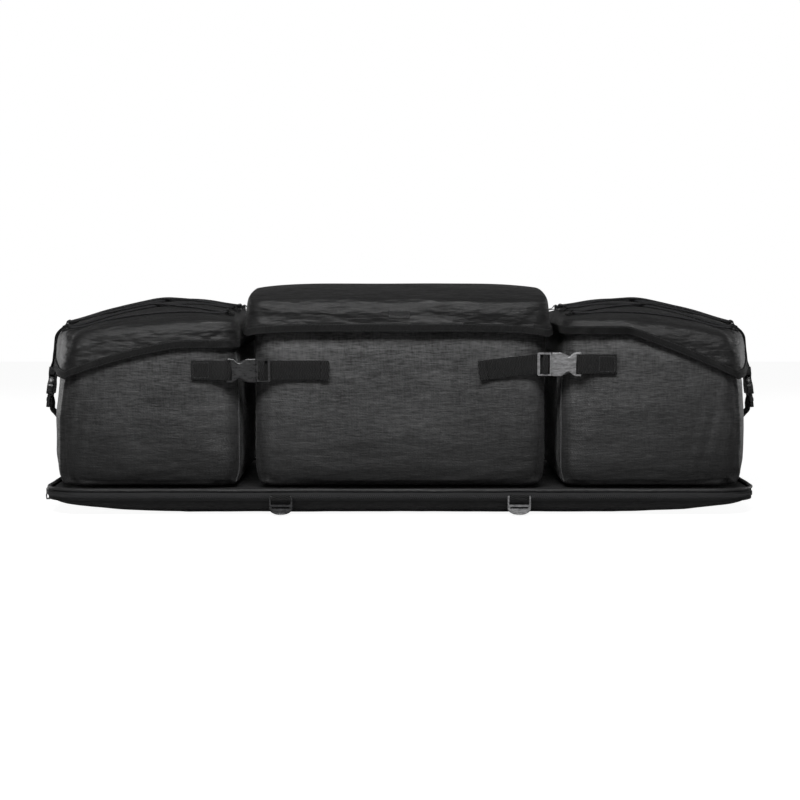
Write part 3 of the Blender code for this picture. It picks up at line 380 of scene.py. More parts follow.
def aroundPoint(form, turn, grow=0.0):
    # turn runs 0 to 1 round the outline, starting at the middle of the rear side
    long, short = form["halfX"], form["halfY"]
    way = turn * 4 * (long + short)
    for length, start, step in ((long, (0, 1), (1, 0)), (2 * short, (1, 1), (0, -1)),
                                (2 * long, (1, -1), (-1, 0)), (2 * short, (-1, -1), (0, 1)),
                                (long, (-1, 1), (1, 0))):
        if way <= length + 1e-9:
            u = start[0] + step[0] * way / long
            v = start[1] + step[1] * way / short
            return planPoint(form, max(-1, min(1, u)), max(-1, min(1, v)), grow), (u, v)
        way -= length
    return planPoint(form, 0, 1, grow), (0, 1)


def past(value, start, reach):
    return max(0.0, (value - start) / reach)


def ramp(value, start, reach):
    return min(1.0, past(value, start, reach))


def sway(x, y, z):
    # Slow noise from 0 to 1
    return 0.5 + 0.5 * noise.noise(Vector((x, y, z)))


# Heights of the tops and of the valances' hems, in metres
heights = {"centerTop": 0.2765, "centerRise": 0.0195, "centerHem": 0.236, "leftDroop": 0.006, "rightDroop": 0.008,
           "sideTop": 0.252, "sideFall": 0.024, "sideRise": 0.024, "endHem": 0.174, "endArch": 0.014}


def centerTop(u, v):
    return heights["centerTop"] + heights["centerRise"] * (1 - abs(v) ** 3) * (1 - 0.3 * abs(u) ** 6)


def sideTop(u, v):
    rise = heights["sideRise"] * (1 - abs(u) ** 2.5) * (1 - abs(v) ** 2.2)
    return heights["sideTop"] - heights["sideFall"] * ((u + 1) / 2) ** 2 + rise


def centerEdge(u, v):
    return heights["centerHem"] - heights["rightDroop" if u > 0 else "leftDroop"] * abs(u * v) ** 6


def sideEdge(inner, start, power):
    # Level beside the centre pocket, then falling toward the outer end
    def edge(u, v):
        share = (u + 1) / 2
        fall = (heights["endHem"] - inner) * past(share, start, 1 - start) ** power
        return inner + fall + heights["endArch"] * (1 - v * v) * share ** 4
    return edge


# Mesh helpers

def keep(name, mesh, material, smooth=True):
    data = bpy.data.meshes.new(name)
    mesh.to_mesh(data)
    mesh.free()
    if smooth:
        data.shade_smooth()
    data.materials.append(material)
    made = bpy.data.objects.new(name, data)
    bpy.context.scene.collection.objects.link(made)
    return made


def modify(made, kind, **values):
    step = made.modifiers.new(kind.title(), kind)
    for name, value in values.items():
        setattr(step, name, value)


def subdivide(made):
    modify(made, "SUBSURF", levels=1, render_levels=1)


def dress(made, node):
    # A trim piece that stands for no node is given None
    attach(made, "bag")
    if node:
        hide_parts(node)


def bake(made):
    # Puts what the modifiers give into the mesh itself
    bpy.context.view_layer.update()
    solved = made.evaluated_get(bpy.context.evaluated_depsgraph_get())
    data = bpy.data.meshes.new_from_object(solved, preserve_all_data_layers=True,
                                           depsgraph=bpy.context.evaluated_depsgraph_get())
    old = made.data
    made.modifiers.clear()
    made.data = data
    bpy.data.meshes.remove(old)


def stripMesh(steps, lanes, place):
    # A flat strip of steps by lanes; place(along, across), each from 0 to 1, gives a point and its map in metres
    mesh = bmesh.new()
    bmesh.ops.create_grid(mesh, x_segments=steps, y_segments=lanes, size=1.0)
    layer = mesh.loops.layers.uv.new("cloth")
    flat = {vert: ((vert.co.x + 1) / 2, (vert.co.y + 1) / 2) for vert in mesh.verts}
    for vert, (along, across) in flat.items():
        point, reach = place(along, across)
        vert.co = point
        flat[vert] = reach
    for face in mesh.faces:
        for loop in face.loops:
            loop[layer].uv = flat[loop.vert]
    bmesh.ops.recalc_face_normals(mesh, faces=mesh.faces[:])
    return mesh


def evenLine(points, count):
    # The same line in equal steps, with its length
    reach = [0.0]
    for first, second in zip(points, points[1:]):
        reach.append(reach[-1] + (second - first).length)
    line, at = [], 0
    for step in range(count + 1):
        want = reach[-1] * step / count
        while at < len(reach) - 2 and reach[at + 1] < want:
            at += 1
        span = max(reach[at + 1] - reach[at], 1e-9)
        line.append(points[at].lerp(points[at + 1], (want - reach[at]) / span))
    return line, reach[-1]


def cadMesh(node):
    # A merged copy of a CAD node, as a bmesh
    mesh = bmesh.new()
    mesh.from_mesh(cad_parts[node].data)
    bmesh.ops.remove_doubles(mesh, verts=mesh.verts[:], dist=0.00002)
    return mesh


def cadTree(node):
    mesh = cadMesh(node)
    tree = BVHTree.FromBMesh(mesh)
    mesh.free()
    return tree


def outwardStrip(mesh, way):
    # Turns a strip so that its face furthest along way looks that way
    face = max(mesh.faces, key=lambda one: way * one.calc_center_median().y)
    if way * face.normal.y < 0:
        bmesh.ops.reverse_faces(mesh, faces=mesh.faces[:])
    return mesh


def roundedBox(size, edge, segments=1, middle=(0, 0, 0)):
    mesh = bmesh.new()
    bmesh.ops.create_cube(mesh, size=1.0, matrix=Matrix.Translation(middle) @ Matrix.Diagonal((*size, 1.0)))
    bmesh.ops.bevel(mesh, geom=mesh.edges[:], offset=edge, offset_type="OFFSET", segments=segments, profile=0.5,
                    affect="EDGES", clamp_overlap=True, material=-1)
    return mesh


def repeated(single, spots):
    # Copies of one small mesh; spots are (place, along, across) for each
    pattern = bpy.data.meshes.new("pattern")
    single.to_mesh(pattern)
    single.free()
    row = bmesh.new()
    for spot, along, across in spots:
        old = len(row.verts)
        row.from_mesh(pattern)
        row.verts.ensure_lookup_table()
        turned = Matrix((along, across, along.cross(across))).transposed().to_4x4()
        bmesh.ops.transform(row, matrix=Matrix.Translation(spot) @ turned, verts=row.verts[old:])
    bpy.data.meshes.remove(pattern)
    return row


# Stuffed pieces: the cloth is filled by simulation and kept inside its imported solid. A fold is its middle
# x and z, lean in degrees, spacing, reach along and across, and depth
sidePocket = {"voxel": 0.006, "shrink": 0.002, "pressure": 4.0, "cap": 0.009}
fillings = {
    "centerPocket": {**sidePocket, "node": "center_compartment", "voxel": 0.0065,
                     "folds": [(-0.150, 0.060, 70, 0.016, 0.050, 0.020, 0.0022),
                               (0.080, 0.052, 10, 0.014, 0.070, 0.012, 0.0016),
                               (0.165, 0.215, -35, 0.014, 0.040, 0.018, 0.0018),
                               (-0.160, 0.215, 40, 0.014, 0.036, 0.018, 0.0016)]},
    "leftPocket": {**sidePocket, "node": "left_compartment",
                   "folds": [(-0.235, 0.205, -60, 0.012, 0.030, 0.018, 0.0030),
                             (-0.415, 0.120, 80, 0.020, 0.060, 0.020, 0.0018),
                             (-0.300, 0.050, 8, 0.014, 0.060, 0.012, 0.0014)]},
    "rightPocket": {**sidePocket, "node": "right_compartment",
                    "folds": [(0.236, 0.213, -50, 0.012, 0.034, 0.020, 0.0042),
                              (0.262, 0.218, -62, 0.013, 0.030, 0.016, 0.0036),
                              (0.400, 0.110, 78, 0.020, 0.060, 0.022, 0.0018),
                              (0.330, 0.052, -6, 0.014, 0.060, 0.012, 0.0014)]},
    "basePouch": {"node": "base_pouch", "voxel": 0.0075, "shrink": 0.002, "pressure": 3.0, "cap": 0.004, "folds": []},
}
stuffing = {"mass": 0.25, "frames": 20, "inward": 0.0022}


def inflate(made, pressure, cap):
    before = [vert.co.copy() for vert in made.data.vertices]
    filling = made.modifiers.new("Filling", "CLOTH")
    filling.settings.quality = 4
    filling.settings.mass = stuffing["mass"]
    filling.settings.use_pressure = True
    filling.settings.uniform_pressure_force = pressure
    filling.settings.effector_weights.gravity = 0.0
    filling.collision_settings.use_collision = False
    for moment in range(1, stuffing["frames"] + 1):
        bpy.context.scene.frame_set(moment)
    bake(made)
    bpy.context.scene.frame_set(1)
    for vert, start in zip(made.data.vertices, before):
        moved = vert.co - start
        reach = cap if moved.dot(vert.normal) > 0 else stuffing["inward"]
        if moved.length > reach:
            vert.co = start + moved.normalized() * reach


def foldDepth(spot, folds):
    # How far soft creases press into a front wall
    depth = 0.0
    for atX, atZ, lean, spacing, reach, spread, deep in folds:
        turn = math.radians(lean)
        offX, offZ = spot.x - atX, spot.z - atZ
        along = offX * math.cos(turn) + offZ * math.sin(turn)
        across = offZ * math.cos(turn) - offX * math.sin(turn)
        veil = math.exp(-(along / reach) ** 2 - (across / spread) ** 2)
        bend = 0.0016 * noise.noise(Vector((along * 40, lean, 2.0)))
        depth += deep * veil * (0.5 + 0.5 * math.cos(math.tau * (across + bend) / spacing))
    return depth


# How far the walls fall back, and from where and over what reach they do, in metres
walls = {"foot": 0.0060, "footFrom": (0.130, -0.095), "shoulder": 0.0045, "shoulderFrom": (0.200, 0.040),
         "end": 0.0050, "centerEnd": (0.145, 0.045), "outerEnd": (0.350, 0.090), "innerEnd": (0.240, -0.050),
         "towardCenter": 0.0085, "innerFace": (0.300, -0.087), "belowLid": (0.225, -0.04),
         "cornerDraw": {"left_compartment": 0.0065, "right_compartment": 0.0040}, "drawFrom": (0.125, 0.045),
         "lean": 0.0110, "leanFrom": (0.170, 0.035), "outerFace": (0.360, 0.070), "offMiddle": (0.0, 0.150)}
# Cloth lies this far inside its solid, give or take some slack; the slow and fine sways are (rate, depth)
drape = {"least": 0.0004, "slow": (24, 0.0011), "fine": (66, 0.0004), "slack": 0.0022, "baseSlack": 0.0008,
         "baseTop": 0.024, "far": 0.02}


def wallDepth(node, spot):
    # Stuffed walls fall back toward the seam at their foot, toward the lid and toward their ends
    across = abs(spot.x)
    if node == "center_compartment":
        end = past(across, *walls["centerEnd"])
    else:
        end = max(past(across, *walls["outerEnd"]), past(across, *walls["innerEnd"]))
    return (walls["foot"] * past(spot.z, *walls["footFrom"]) ** 2
            + walls["shoulder"] * past(spot.z, *walls["shoulderFrom"]) ** 2 + walls["end"] * end ** 2)


def pocketShift(node, spot):
    # Side pockets press toward the centre one, and their outer corners draw in under the lid
    if node not in walls["cornerDraw"]:
        return 0.0
    across = abs(spot.x)
    inward = ramp(across, *walls["innerFace"]) ** 1.5 * ramp(spot.z, *walls["belowLid"])
    outer = ramp(across, *walls["outerFace"]) ** 1.5 * ramp(abs(spot.y), *walls["offMiddle"])
    draw = (walls["cornerDraw"][node] * ramp(spot.z, *walls["drawFrom"])
            + walls["lean"] * ramp(spot.z, *walls["leanFrom"]))
    return -math.copysign(walls["towardCenter"] * inward + draw * outer, spot.x)


def fillCloth(name, look):
    node, base = look["node"], look["node"] == "base_pouch"
    made = keep(name, cadMesh(node), cloths["baseCloth" if base else "bagCloth"])
    modify(made, "REMESH", mode="VOXEL", voxel_size=look["voxel"], use_smooth_shade=True)
    bake(made)
    for vert in made.data.vertices:
        vert.co -= vert.normal * look["shrink"]
    inflate(made, look["pressure"], look["cap"])
    tree = cadTree(node)
    for vert in made.data.vertices:
        hit, normal, _, _ = tree.find_nearest(vert.co)
        inside = (hit - vert.co).dot(normal)
        want = drape["least"] + sum(depth * sway(*(vert.co * rate)) for rate, depth in (drape["slow"], drape["fine"]))
        slack = drape["slack"]
        if base:
            slack = drape["baseSlack"] if vert.co.z > drape["baseTop"] else slack
        elif abs(normal.y) > 0.5:
            want += wallDepth(node, vert.co) + (foldDepth(vert.co, look["folds"]) if normal.y < 0 else 0.0)
        kept = min(max(inside, want), want + slack)
        if abs(inside) < drape["far"] and kept != inside:
            vert.co = vert.co - normal * (kept - inside)
    for vert in made.data.vertices:
        vert.co.x += pocketShift(node, vert.co)
    subdivide(made)
    dress(made, node)
    print("cargo bag:", name, "filled")
    return made


pockets = {name: fillCloth(name, look) for name, look in fillings.items()}


# Lids: a domed panel with a hanging valance all round; their folds are as the pockets'
sideLid = {"top": sideTop, "cells": 44, "drops": 9, "dent": 0.0007, "wave": 0.0026, "endCrest": 0.018,
           "endRoll": 0.82}
lids = {
    "centerLid": {"node": "center_lid", "form": centerLidForm, "top": centerTop, "edge": centerEdge, "cells": 52,
                  "drops": 7, "dent": 0.0014, "wave": 0.0030, "endCrest": 0.007, "endRoll": 0.967, "seed": 3.0,
                  "folds": [(0.060, 0.258, 62, 0.020, 0.022, 0.030, 0.0022),
                            (0.170, 0.252, 40, 0.016, 0.030, 0.018, 0.0028),
                            (-0.175, 0.252, -48, 0.016, 0.030, 0.018, 0.0026),
                            (-0.060, 0.262, -20, 0.015, 0.050, 0.016, 0.0014)]},
    "leftLid": {**sideLid, "node": "left_lid", "form": sideForm(-1, lidGrow, 0.009),
                "edge": sideEdge(0.215, 0.30, 1.3), "lean": 0.0085, "seed": 11.0,
                "folds": [(-0.216, 0.232, -58, 0.011, 0.034, 0.016, 0.0034),
                          (-0.245, 0.224, 30, 0.012, 0.040, 0.012, 0.0018),
                          (-0.400, 0.200, 58, 0.020, 0.050, 0.024, 0.0018)]},
    "rightLid": {**sideLid, "node": "right_lid", "form": sideForm(1, lidGrow, 0.005),
                 "edge": sideEdge(0.233, 0.36, 1.05), "lean": 0.0065, "seed": 19.0,
                 "folds": [(0.236, 0.244, 38, 0.015, 0.030, 0.020, 0.0028),
                           (0.300, 0.243, 66, 0.018, 0.022, 0.024, 0.0018),
                           (0.405, 0.205, -55, 0.020, 0.050, 0.024, 0.0018)]},
}
# crest and flat are at the middle of a side: how far down the valance starts, and how far out the top is flat;
# topCells is the share of the grid on that flat part
lidBuild = {"crest": 0.014, "flat": 0.935, "topCells": 0.8, "taper": 0.028, "leanFrom": (0.360, 0.080),
            "thickness": 0.0028}


def crestOf(lid, u, v):
    # How far the lid has turned down where its valance starts, and how far out the flat top reaches
    corner = abs(u) ** 8 if lid["node"] == "center_lid" else max(u, 0.0) ** 8 * min(1.0, abs(v) / 0.6) ** 2
    crest, flat = lidBuild["crest"], lidBuild["flat"]
    return crest + (lid["endCrest"] - crest) * corner, flat + (lid["endRoll"] - flat) * corner


def tapered(lid, x, level, v):
    # The centre lid narrows upward; the side lids' outer corners lean in
    if lid["node"] == "center_lid":
        middle = lid["form"]["centerX"]
        return middle + (x - middle) * (1 - lidBuild["taper"] * (1 - level))
    outer = ramp(abs(x), *lidBuild["leanFrom"]) ** 2
    return x - math.copysign(lid["lean"] * (1 - level) * outer * min(1.0, abs(v) / 0.5) ** 2, x)


def hemShift(lid, x, y, level):
    # How far a point of the valance falls back from its full shape; level runs 0 at the crest to 1 at the hem
    slow = sway(x * 17, y * 17, lid["seed"])
    quick = sway(x * 46, y * 46, lid["seed"] + level * 1.5)
    return lid["wave"] * (0.15 + 0.85 * level) * (0.65 * slow + 0.35 * quick)


def valanceShift(lid, x, y, z, level, v):
    # The front's creases are added to the hem's wave
    return hemShift(lid, x, y, level) + (foldDepth(Vector((x, y, z)), lid["folds"]) if v < -0.9 else 0.0)


def lidPoint(lid, u, v, level):
    form = lid["form"]
    scale = max(abs(u), abs(v), 1e-6)
    edgeU, edgeV = u / scale, v / scale
    roll, flat = crestOf(lid, edgeU, edgeV)
    if level <= 0:
        cells = lidBuild["topCells"]
        even = scale / cells * flat if scale < cells else flat + (scale - cells) / (1 - cells) * (1 - flat)
        x, y = planPoint(form, edgeU, edgeV)
        shift = hemShift(lid, x, y, 0.0) * max(0.0, (even - 0.6) / 0.4)
        bowed, _ = planPoint(form, edgeU, edgeV, -shift)
        x, y = planPoint({**form, "bow": 0.0}, edgeU, edgeV, -shift)
        drawn = tapered(lid, bowed, 0.0, edgeV) - x
        x, y = form["centerX"] + (x - form["centerX"]) * even, y * even
        if lid["node"] == "center_lid":
            x = tapered(lid, x, 0.0, 0.0)
        else:
            x += drawn * max(0.0, (even - 0.80) / 0.20) ** 1.5
        turn = past(even, flat, 1 - flat)
        drop = roll * (1 - math.sqrt(max(0.0, 1 - turn * turn)))
        dent = lid["dent"] * sway(x * 14, y * 14, lid["seed"] + 5)
        return Vector((x, y, lid["top"](edgeU * even, edgeV * even) - drop - dent - 0.0002))
    x, y = planPoint(form, edgeU, edgeV)
    crest = lid["top"](edgeU, edgeV) - roll - lid["dent"] * 0.5
    z = crest + (lid["edge"](edgeU, edgeV) - crest) * level
    x, y = planPoint(form, edgeU, edgeV, -valanceShift(lid, x, y, z, level, edgeV))
    return Vector((tapered(lid, x, level, edgeV), y, z))


def makeLid(name, lid):
    mesh = bmesh.new()
    bmesh.ops.create_grid(mesh, x_segments=lid["cells"], y_segments=lid["cells"], size=1.0)
    for drop in range(lid["drops"]):
        rim = [edge for edge in mesh.edges if edge.is_boundary]
        grown = bmesh.ops.extrude_edge_only(mesh, edges=rim)["geom"]
        for item in grown:
            if isinstance(item, bmesh.types.BMVert):
                item.co.z = -(drop + 1) / lid["drops"]
    for vert in mesh.verts:
        vert.co = lidPoint(lid, vert.co.x, vert.co.y, -vert.co.z)
    mesh.normal_update()
    center = Vector((lid["form"]["centerX"], 0))
    middle = min(mesh.faces, key=lambda face: (face.calc_center_median().xy - center).length)
    if middle.normal.z < 0:
        bmesh.ops.reverse_faces(mesh, faces=mesh.faces[:])
    made = keep(name, mesh, cloths["lidCloth"])
    modify(made, "SOLIDIFY", thickness=lidBuild["thickness"], offset=-1.0, use_even_offset=True)
    subdivide(made)
    dress(made, lid["node"])
    return made


lidPieces = {name: makeLid(name, lid) for name, lid in lids.items()}
print("cargo bag: lids made")


# Bindings: ribbed webbing folded flat along each valance's hem, its ends meeting at the rear
binding = {"height": 0.0105, "thickness": 0.0014, "off": 0.0005, "steps": 260}


def outlineLength(form):
    return 4 * (form["halfX"] + form["halfY"]) - 8 * form["corner"] + math.tau * form["corner"]


def makeBinding(name, node, lid):
    form, length = lid["form"], outlineLength(lid["form"])

    def place(along, across):
        turn = 0.0004 + 0.9992 * along
        (x, y), (u, v) = aroundPoint(form, turn)
        drop = lid["top"](u, v) - crestOf(lid, u, v)[0] - lid["edge"](u, v)
        level = 1 - across * binding["height"] / drop
        z = lid["edge"](u, v) - 0.0004 + across * binding["height"]
        (x, y), _ = aroundPoint(form, turn, binding["off"] - valanceShift(lid, x, y, z, level, v))
        return Vector((tapered(lid, x, level, v), y, z)), (along * length, across * binding["height"])
    made = keep(name, outwardStrip(stripMesh(binding["steps"], 4, place), 1), bindingStrap)
    modify(made, "SOLIDIFY", thickness=binding["thickness"], offset=1.0, use_even_offset=True)
    modify(made, "BEVEL", width=0.0004, segments=2, limit_method="ANGLE")
    dress(made, node)


for name, lid in lids.items():
    makeBinding(name.replace("Lid", "LidBinding"), lid["node"] + "_binding", lid)
print("cargo bag: bindings made")


# Tubes: piping, welts and bungees, closed round and along
def tubeMesh(line, radius, sides, closed):
    # line is evenly spaced points; the map runs in metres along and round
    count = len(line) - 1
    length = sum((second - first).length for first, second in zip(line, line[1:]))
    frames, lift = [], None
    for index in range(count + 1):
        after = line[(index + 1) % count if closed else min(index + 1, count)]
        before = line[(index - 1) % count if closed else max(index - 1, 0)]
        along = (after - before).normalized()
        lift = (lift or Vector((0, 0, 1)).cross(along)) if index else Vector((0.02, 0.01, 1)).cross(along)
        lift = (lift - along * lift.dot(along)).normalized()
        frames.append((lift, along.cross(lift)))
    if closed:
        # Share out the twist that is left where the ends meet
        first, last = frames[0][0], frames[-1][0]
        twist = math.atan2(first.dot(frames[-1][1]), first.dot(last))
    else:
        twist = 0.0

    def place(along, across):
        index = round(along * count)
        turn = math.tau * across + twist * along
        first, second = frames[index]
        ring = first * math.cos(turn) + second * math.sin(turn)
        return line[index] + ring * radius, (along * length, across * math.tau * radius)
    mesh = stripMesh(count, sides, place)
    bmesh.ops.remove_doubles(mesh, verts=mesh.verts[:], dist=radius * 0.02)
    if not closed:
        bmesh.ops.holes_fill(mesh, edges=[edge for edge in mesh.edges if edge.is_boundary], sides=0)
    bmesh.ops.recalc_face_normals(mesh, faces=mesh.faces[:])
    return mesh


piping = {"radius": 0.0021, "height": 0.0316, "out": 0.0008}


def makePiping():
    track = []
    for step in range(721):
        (x, y), _ = aroundPoint(baseForm, min(step / 720, 1.0), piping["out"])
        lift = 0.0004 * noise.noise(Vector((x * 30, y * 30, 8)))
        track.append(Vector((x, y, piping["height"] + lift)))
    track[-1] = track[0].copy()
    line, _ = evenLine(track, 480)
    line[-1] = line[0].copy()
    made = keep("basePiping", tubeMesh(line, piping["radius"], 10, True), cloths["pipingCloth"])
    dress(made, "base_piping")


makePiping()


# Welts down the side pockets' inner front corners, where the front panel meets the side panel
welt = {"radius": 0.0010, "fromX": 0.195, "y": -0.1830, "low": 0.040, "high": 0.208}


def makeWelt(name, pocket, side):
    shape = BVHTree.FromObject(pocket, bpy.context.evaluated_depsgraph_get())
    points = []
    for step in range(61):
        z = welt["low"] + (welt["high"] - welt["low"]) * step / 60
        hit = shape.ray_cast(Vector((side * welt["fromX"], welt["y"], z)), Vector((side, 0, 0)))[0]
        if hit:
            points.append(hit - Vector((side * welt["radius"] * 0.5, 0, 0)))
    line, _ = evenLine(points, 120)
    dress(keep(name, tubeMesh(line, welt["radius"], 8, False), cloths["weltCloth"]), None)


makeWelt("leftPocketWelt", pockets["leftPocket"], -1)
makeWelt("rightPocketWelt", pockets["rightPocket"], 1)


# Zip: tape and interlocked coil round the left end, the front and the right end
zipTrack = {"height": 0.0232, "tapeWidth": 0.013, "tapeOff": 0.0005, "tapeThickness": 0.0007, "start": 0.2108,
            "finish": 0.7892, "pitch": 0.00125, "tooth": (0.0008, 0.0012, 0.0033), "toothEdge": 0.00022,
            "stagger": 0.00065}


def makeZip():
    span = zipTrack["finish"] - zipTrack["start"]
    length = span * outlineLength(baseForm)

    def place(along, across):
        (x, y), _ = aroundPoint(baseForm, zipTrack["start"] + along * span, zipTrack["tapeOff"])
        reach = (across - 0.5) * zipTrack["tapeWidth"]
        return Vector((x, y, zipTrack["height"] + reach)), (along * length, across * zipTrack["tapeWidth"])
    made = keep("zipTape", outwardStrip(stripMesh(300, 2, place), -1), tape)
    modify(made, "SOLIDIFY", thickness=zipTrack["tapeThickness"], offset=1.0)
    dress(made, "zip_tape")

    rise = zipTrack["tapeOff"] + zipTrack["tapeThickness"] + zipTrack["tooth"][1] / 2
    track = []
    for step in range(1601):
        (x, y), _ = aroundPoint(baseForm, zipTrack["start"] + step / 1600 * span, rise)
        track.append(Vector((x, y, zipTrack["height"])))
    count = round(length / zipTrack["pitch"])
    line, _ = evenLine(track, count)
    up, spots = Vector((0, 0, 1)), []
    for index in range(1, count):
        along = (line[index + 1] - line[index - 1]).normalized()
        shift = zipTrack["stagger"] if index % 2 else -zipTrack["stagger"]
        spots.append((line[index] + up * shift, along, up.cross(along)))
    row = repeated(roundedBox(zipTrack["tooth"], zipTrack["toothEdge"]), spots)
    dress(keep("zipCoil", row, moulded["zipCoil"], smooth=False), "zip_coil")


makeZip()
print("cargo bag: piping and zip made")


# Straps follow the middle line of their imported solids
def strapLine(node, width):
    # The rungs across a strap's two faces, paired where the faces lie closest
    mesh = cadMesh(node)
    rungs = set()
    for vert in mesh.verts:
        rungs.add(min(vert.link_edges, key=lambda edge: abs(edge.calc_length() - width)))
    owner = {vert: rung for rung in rungs for vert in rung.verts}
    beside = {rung: set() for rung in rungs}
    for face in mesh.faces:
        met = {owner[vert] for vert in face.verts}
        if len(met) == 2:
            first, second = met
            beside[first].add(second)
            beside[second].add(first)

    def middle(rung):
        return (rung.verts[0].co + rung.verts[1].co) / 2

    def order(rung):
        return tuple(middle(rung))
    walk = [min(rungs, key=order)]
    while len(walk) < len(rungs):
        seen = walk[-2:] + walk[:1]
        walk.append(min((rung for rung in beside[walk[-1]] if rung not in seen), key=order))
    middles = [middle(rung) for rung in walk]
    total, half = len(walk), len(walk) // 2

    def gap(turn):
        return max((middles[(turn + index) % total] - middles[(turn - 1 - index) % total]).length
                   for index in range(half))
    best = min(range(half), key=gap)
    line, ways = [], []
    for index in range(half):
        rung = walk[(best + index) % total]
        line.append((middles[(best + index) % total] + middles[(best - 1 - index) % total]) / 2)
        way = (rung.verts[1].co - rung.verts[0].co).normalized()
        if ways and way.dot(ways[-1]) < 0:
            way.negate()
        ways.append(way)
    mesh.free()
    return line, ways


def rounded(points, ways, times=2):
    for _ in range(times):
        cut, turned = [points[0]], [ways[0]]
        for index in range(len(points) - 1):
            for share in (0.25, 0.75):
                cut.append(points[index].lerp(points[index + 1], share))
                turned.append(ways[index].lerp(ways[index + 1], share).normalized())
        points, ways = cut + [points[-1]], turned + [ways[-1]]
    return points, ways


webbing = {"width": 0.025, "thickness": 0.00135, "step": 0.0011}
cordLoop = {"width": 0.012, "thickness": 0.00095, "step": 0.0008}


def makeStrapPiece(name, node, look):
    width, thickness = look["width"], look["thickness"]
    points, ways = rounded(*strapLine(node, width))
    length = sum((second - first).length for first, second in zip(points, points[1:]))
    count = max(12, round(length / look["step"]))
    line, _ = evenLine(points, count)
    nearest = [min(range(len(points)), key=lambda at: (points[at] - spot).length) for spot in line]

    def place(along, across):
        index = round(along * count)
        way = ways[nearest[index]]
        return line[index] + way * ((across - 0.5) * width), (along * length, across * width)
    made = keep(name, stripMesh(count, 4, place), strap)
    modify(made, "SOLIDIFY", thickness=thickness, offset=0.0, use_even_offset=True)
    modify(made, "BEVEL", width=thickness * 0.25, segments=2, limit_method="ANGLE")
    dress(made, node)


for side in ("left", "right"):
    for piece in ("front_tab", "front_webbing", "end_lid_webbing", "end_body_webbing"):
        word = "".join(part.title() for part in piece.split("_"))
        makeStrapPiece(side + word, f"{side}_{piece}", webbing)
    for end in ("front", "rear"):
        makeStrapPiece(f"{side}{end.title()}LockLoop", f"{side}_{end}_lock_loop", webbing)
    for edge in ("outer", "inner"):
        for row in range(1, 5):
            makeStrapPiece(f"{side}{edge.title()}CordLoop{row}", f"{side}_{edge}_cord_loop_{row}", cordLoop)
print("cargo bag: straps and loops made")


# Thread: short stitches round a box, each lying on a front face
thread = {"length": 0.0024, "gap": 0.0010, "radius": 0.00028, "lift": 0.0001}
towardFront = Vector((0, -1, 0))


def makeStitches(name, corners):
    spots = []
    for first, second in zip(corners, corners[1:] + corners[:1]):
        along = (second - first).normalized()
        count = max(1, round((second - first).length / (thread["length"] + thread["gap"])))
        across = towardFront.cross(along).normalized()
        spots += [(first.lerp(second, (index + 0.5) / count), along, across) for index in range(count)]
    size = (thread["length"], thread["radius"] * 2, thread["radius"] * 1.6)
    row = repeated(roundedBox(size, thread["radius"] * 0.6), spots)
    dress(keep(name, row, cloths["threadCloth"]), None)


def boxCorners(low, high):
    return (low[0], low[1]), (high[0], low[1]), (high[0], high[1]), (low[0], high[1])


def sewBox(name, node, low, high, start=-0.4):
    # The box's corners are dropped from the front on to whatever lies there
    tree, corners = cadTree(node), []
    for x, z in boxCorners(low, high):
        hit = tree.ray_cast(Vector((x, start, z)), -towardFront)[0]
        corners.append(hit + towardFront * thread["lift"])
    makeStitches(name, corners)


sewnBoxes = {"leftTabStitches": ("left_front_tab", (-0.2655, 0.1765), (-0.2455, 0.1955)),
             "rightTabStitches": ("right_front_tab", (0.2555, 0.1845), (0.2755, 0.2035))}
for name, box in sewnBoxes.items():
    sewBox(name, *box)


# Plain patch sewn on the centre valance
patch = {"low": (-0.0150, 0.2530), "high": (0.0130, 0.2635), "off": 0.0002, "thickness": 0.0006, "hem": 0.0012}


def makePatch():
    lid = lids["centerLid"]
    form, (left, low), (right, high) = lid["form"], patch["low"], patch["high"]
    width, height = right - left, high - low

    def surface(x, z, off):
        u = (x - form["centerX"]) / form["halfX"]
        crest = lid["top"](u, -1) - crestOf(lid, u, -1)[0] - lid["dent"] * 0.5
        level = (crest - z) / (crest - lid["edge"](u, -1))
        x, y = planPoint(form, u, -1)
        x, y = planPoint(form, u, -1, off - valanceShift(lid, x, y, z, level, -1))
        return Vector((tapered(lid, x, level, -1), y, z))

    def place(along, across):
        spot = surface(left + along * width, low + across * height, patch["off"])
        return spot, (along * width, across * height)
    made = keep("valancePatch", outwardStrip(stripMesh(14, 6, place), -1), cloths["baseCloth"])
    modify(made, "SOLIDIFY", thickness=patch["thickness"], offset=1.0)
    modify(made, "BEVEL", width=0.0002, segments=2, limit_method="ANGLE")
    dress(made, None)
    hem, lift = patch["hem"], patch["off"] + patch["thickness"] + thread["lift"]
    corners = boxCorners((left + hem, low + hem), (right - hem, high - hem))
    makeStitches("valancePatchStitches", [surface(x, z, lift) for x, z in corners])


makePatch()


# Bungees laced over the side lids, through every loop and back
# lacing is each loop's edge and row, and the way in and out of it; steps are a strand's points and its humps
bungee = {"radius": 0.0018, "sides": 10, "rows": (-0.72, -0.24, 0.24, 0.72), "anchor": 0.84, "loopHalf": 0.0086,
          "inLoop": 0.0040, "crossing": 0.0040, "off": 0.0002, "over": (1, 3, 6),
          "lacing": ((1, 0, 1, -1), (-1, 0, -1, 1), (1, 1, -1, 1), (-1, 2, -1, 1),
                     (1, 3, -1, 1), (-1, 3, 1, -1), (1, 2, 1, -1), (-1, 1, 1, -1)),
          "steps": ((0.07, 0.0), (0.21, 0.0), (0.36, 0.2), (0.50, 1.0), (0.64, 0.2), (0.79, 0.0), (0.93, 0.0))}


def topPoint(form, u, v):
    x, y = planPoint({**form, "corner": 0.0}, u, v)
    return Vector((x, y, sideTop(u, v)))


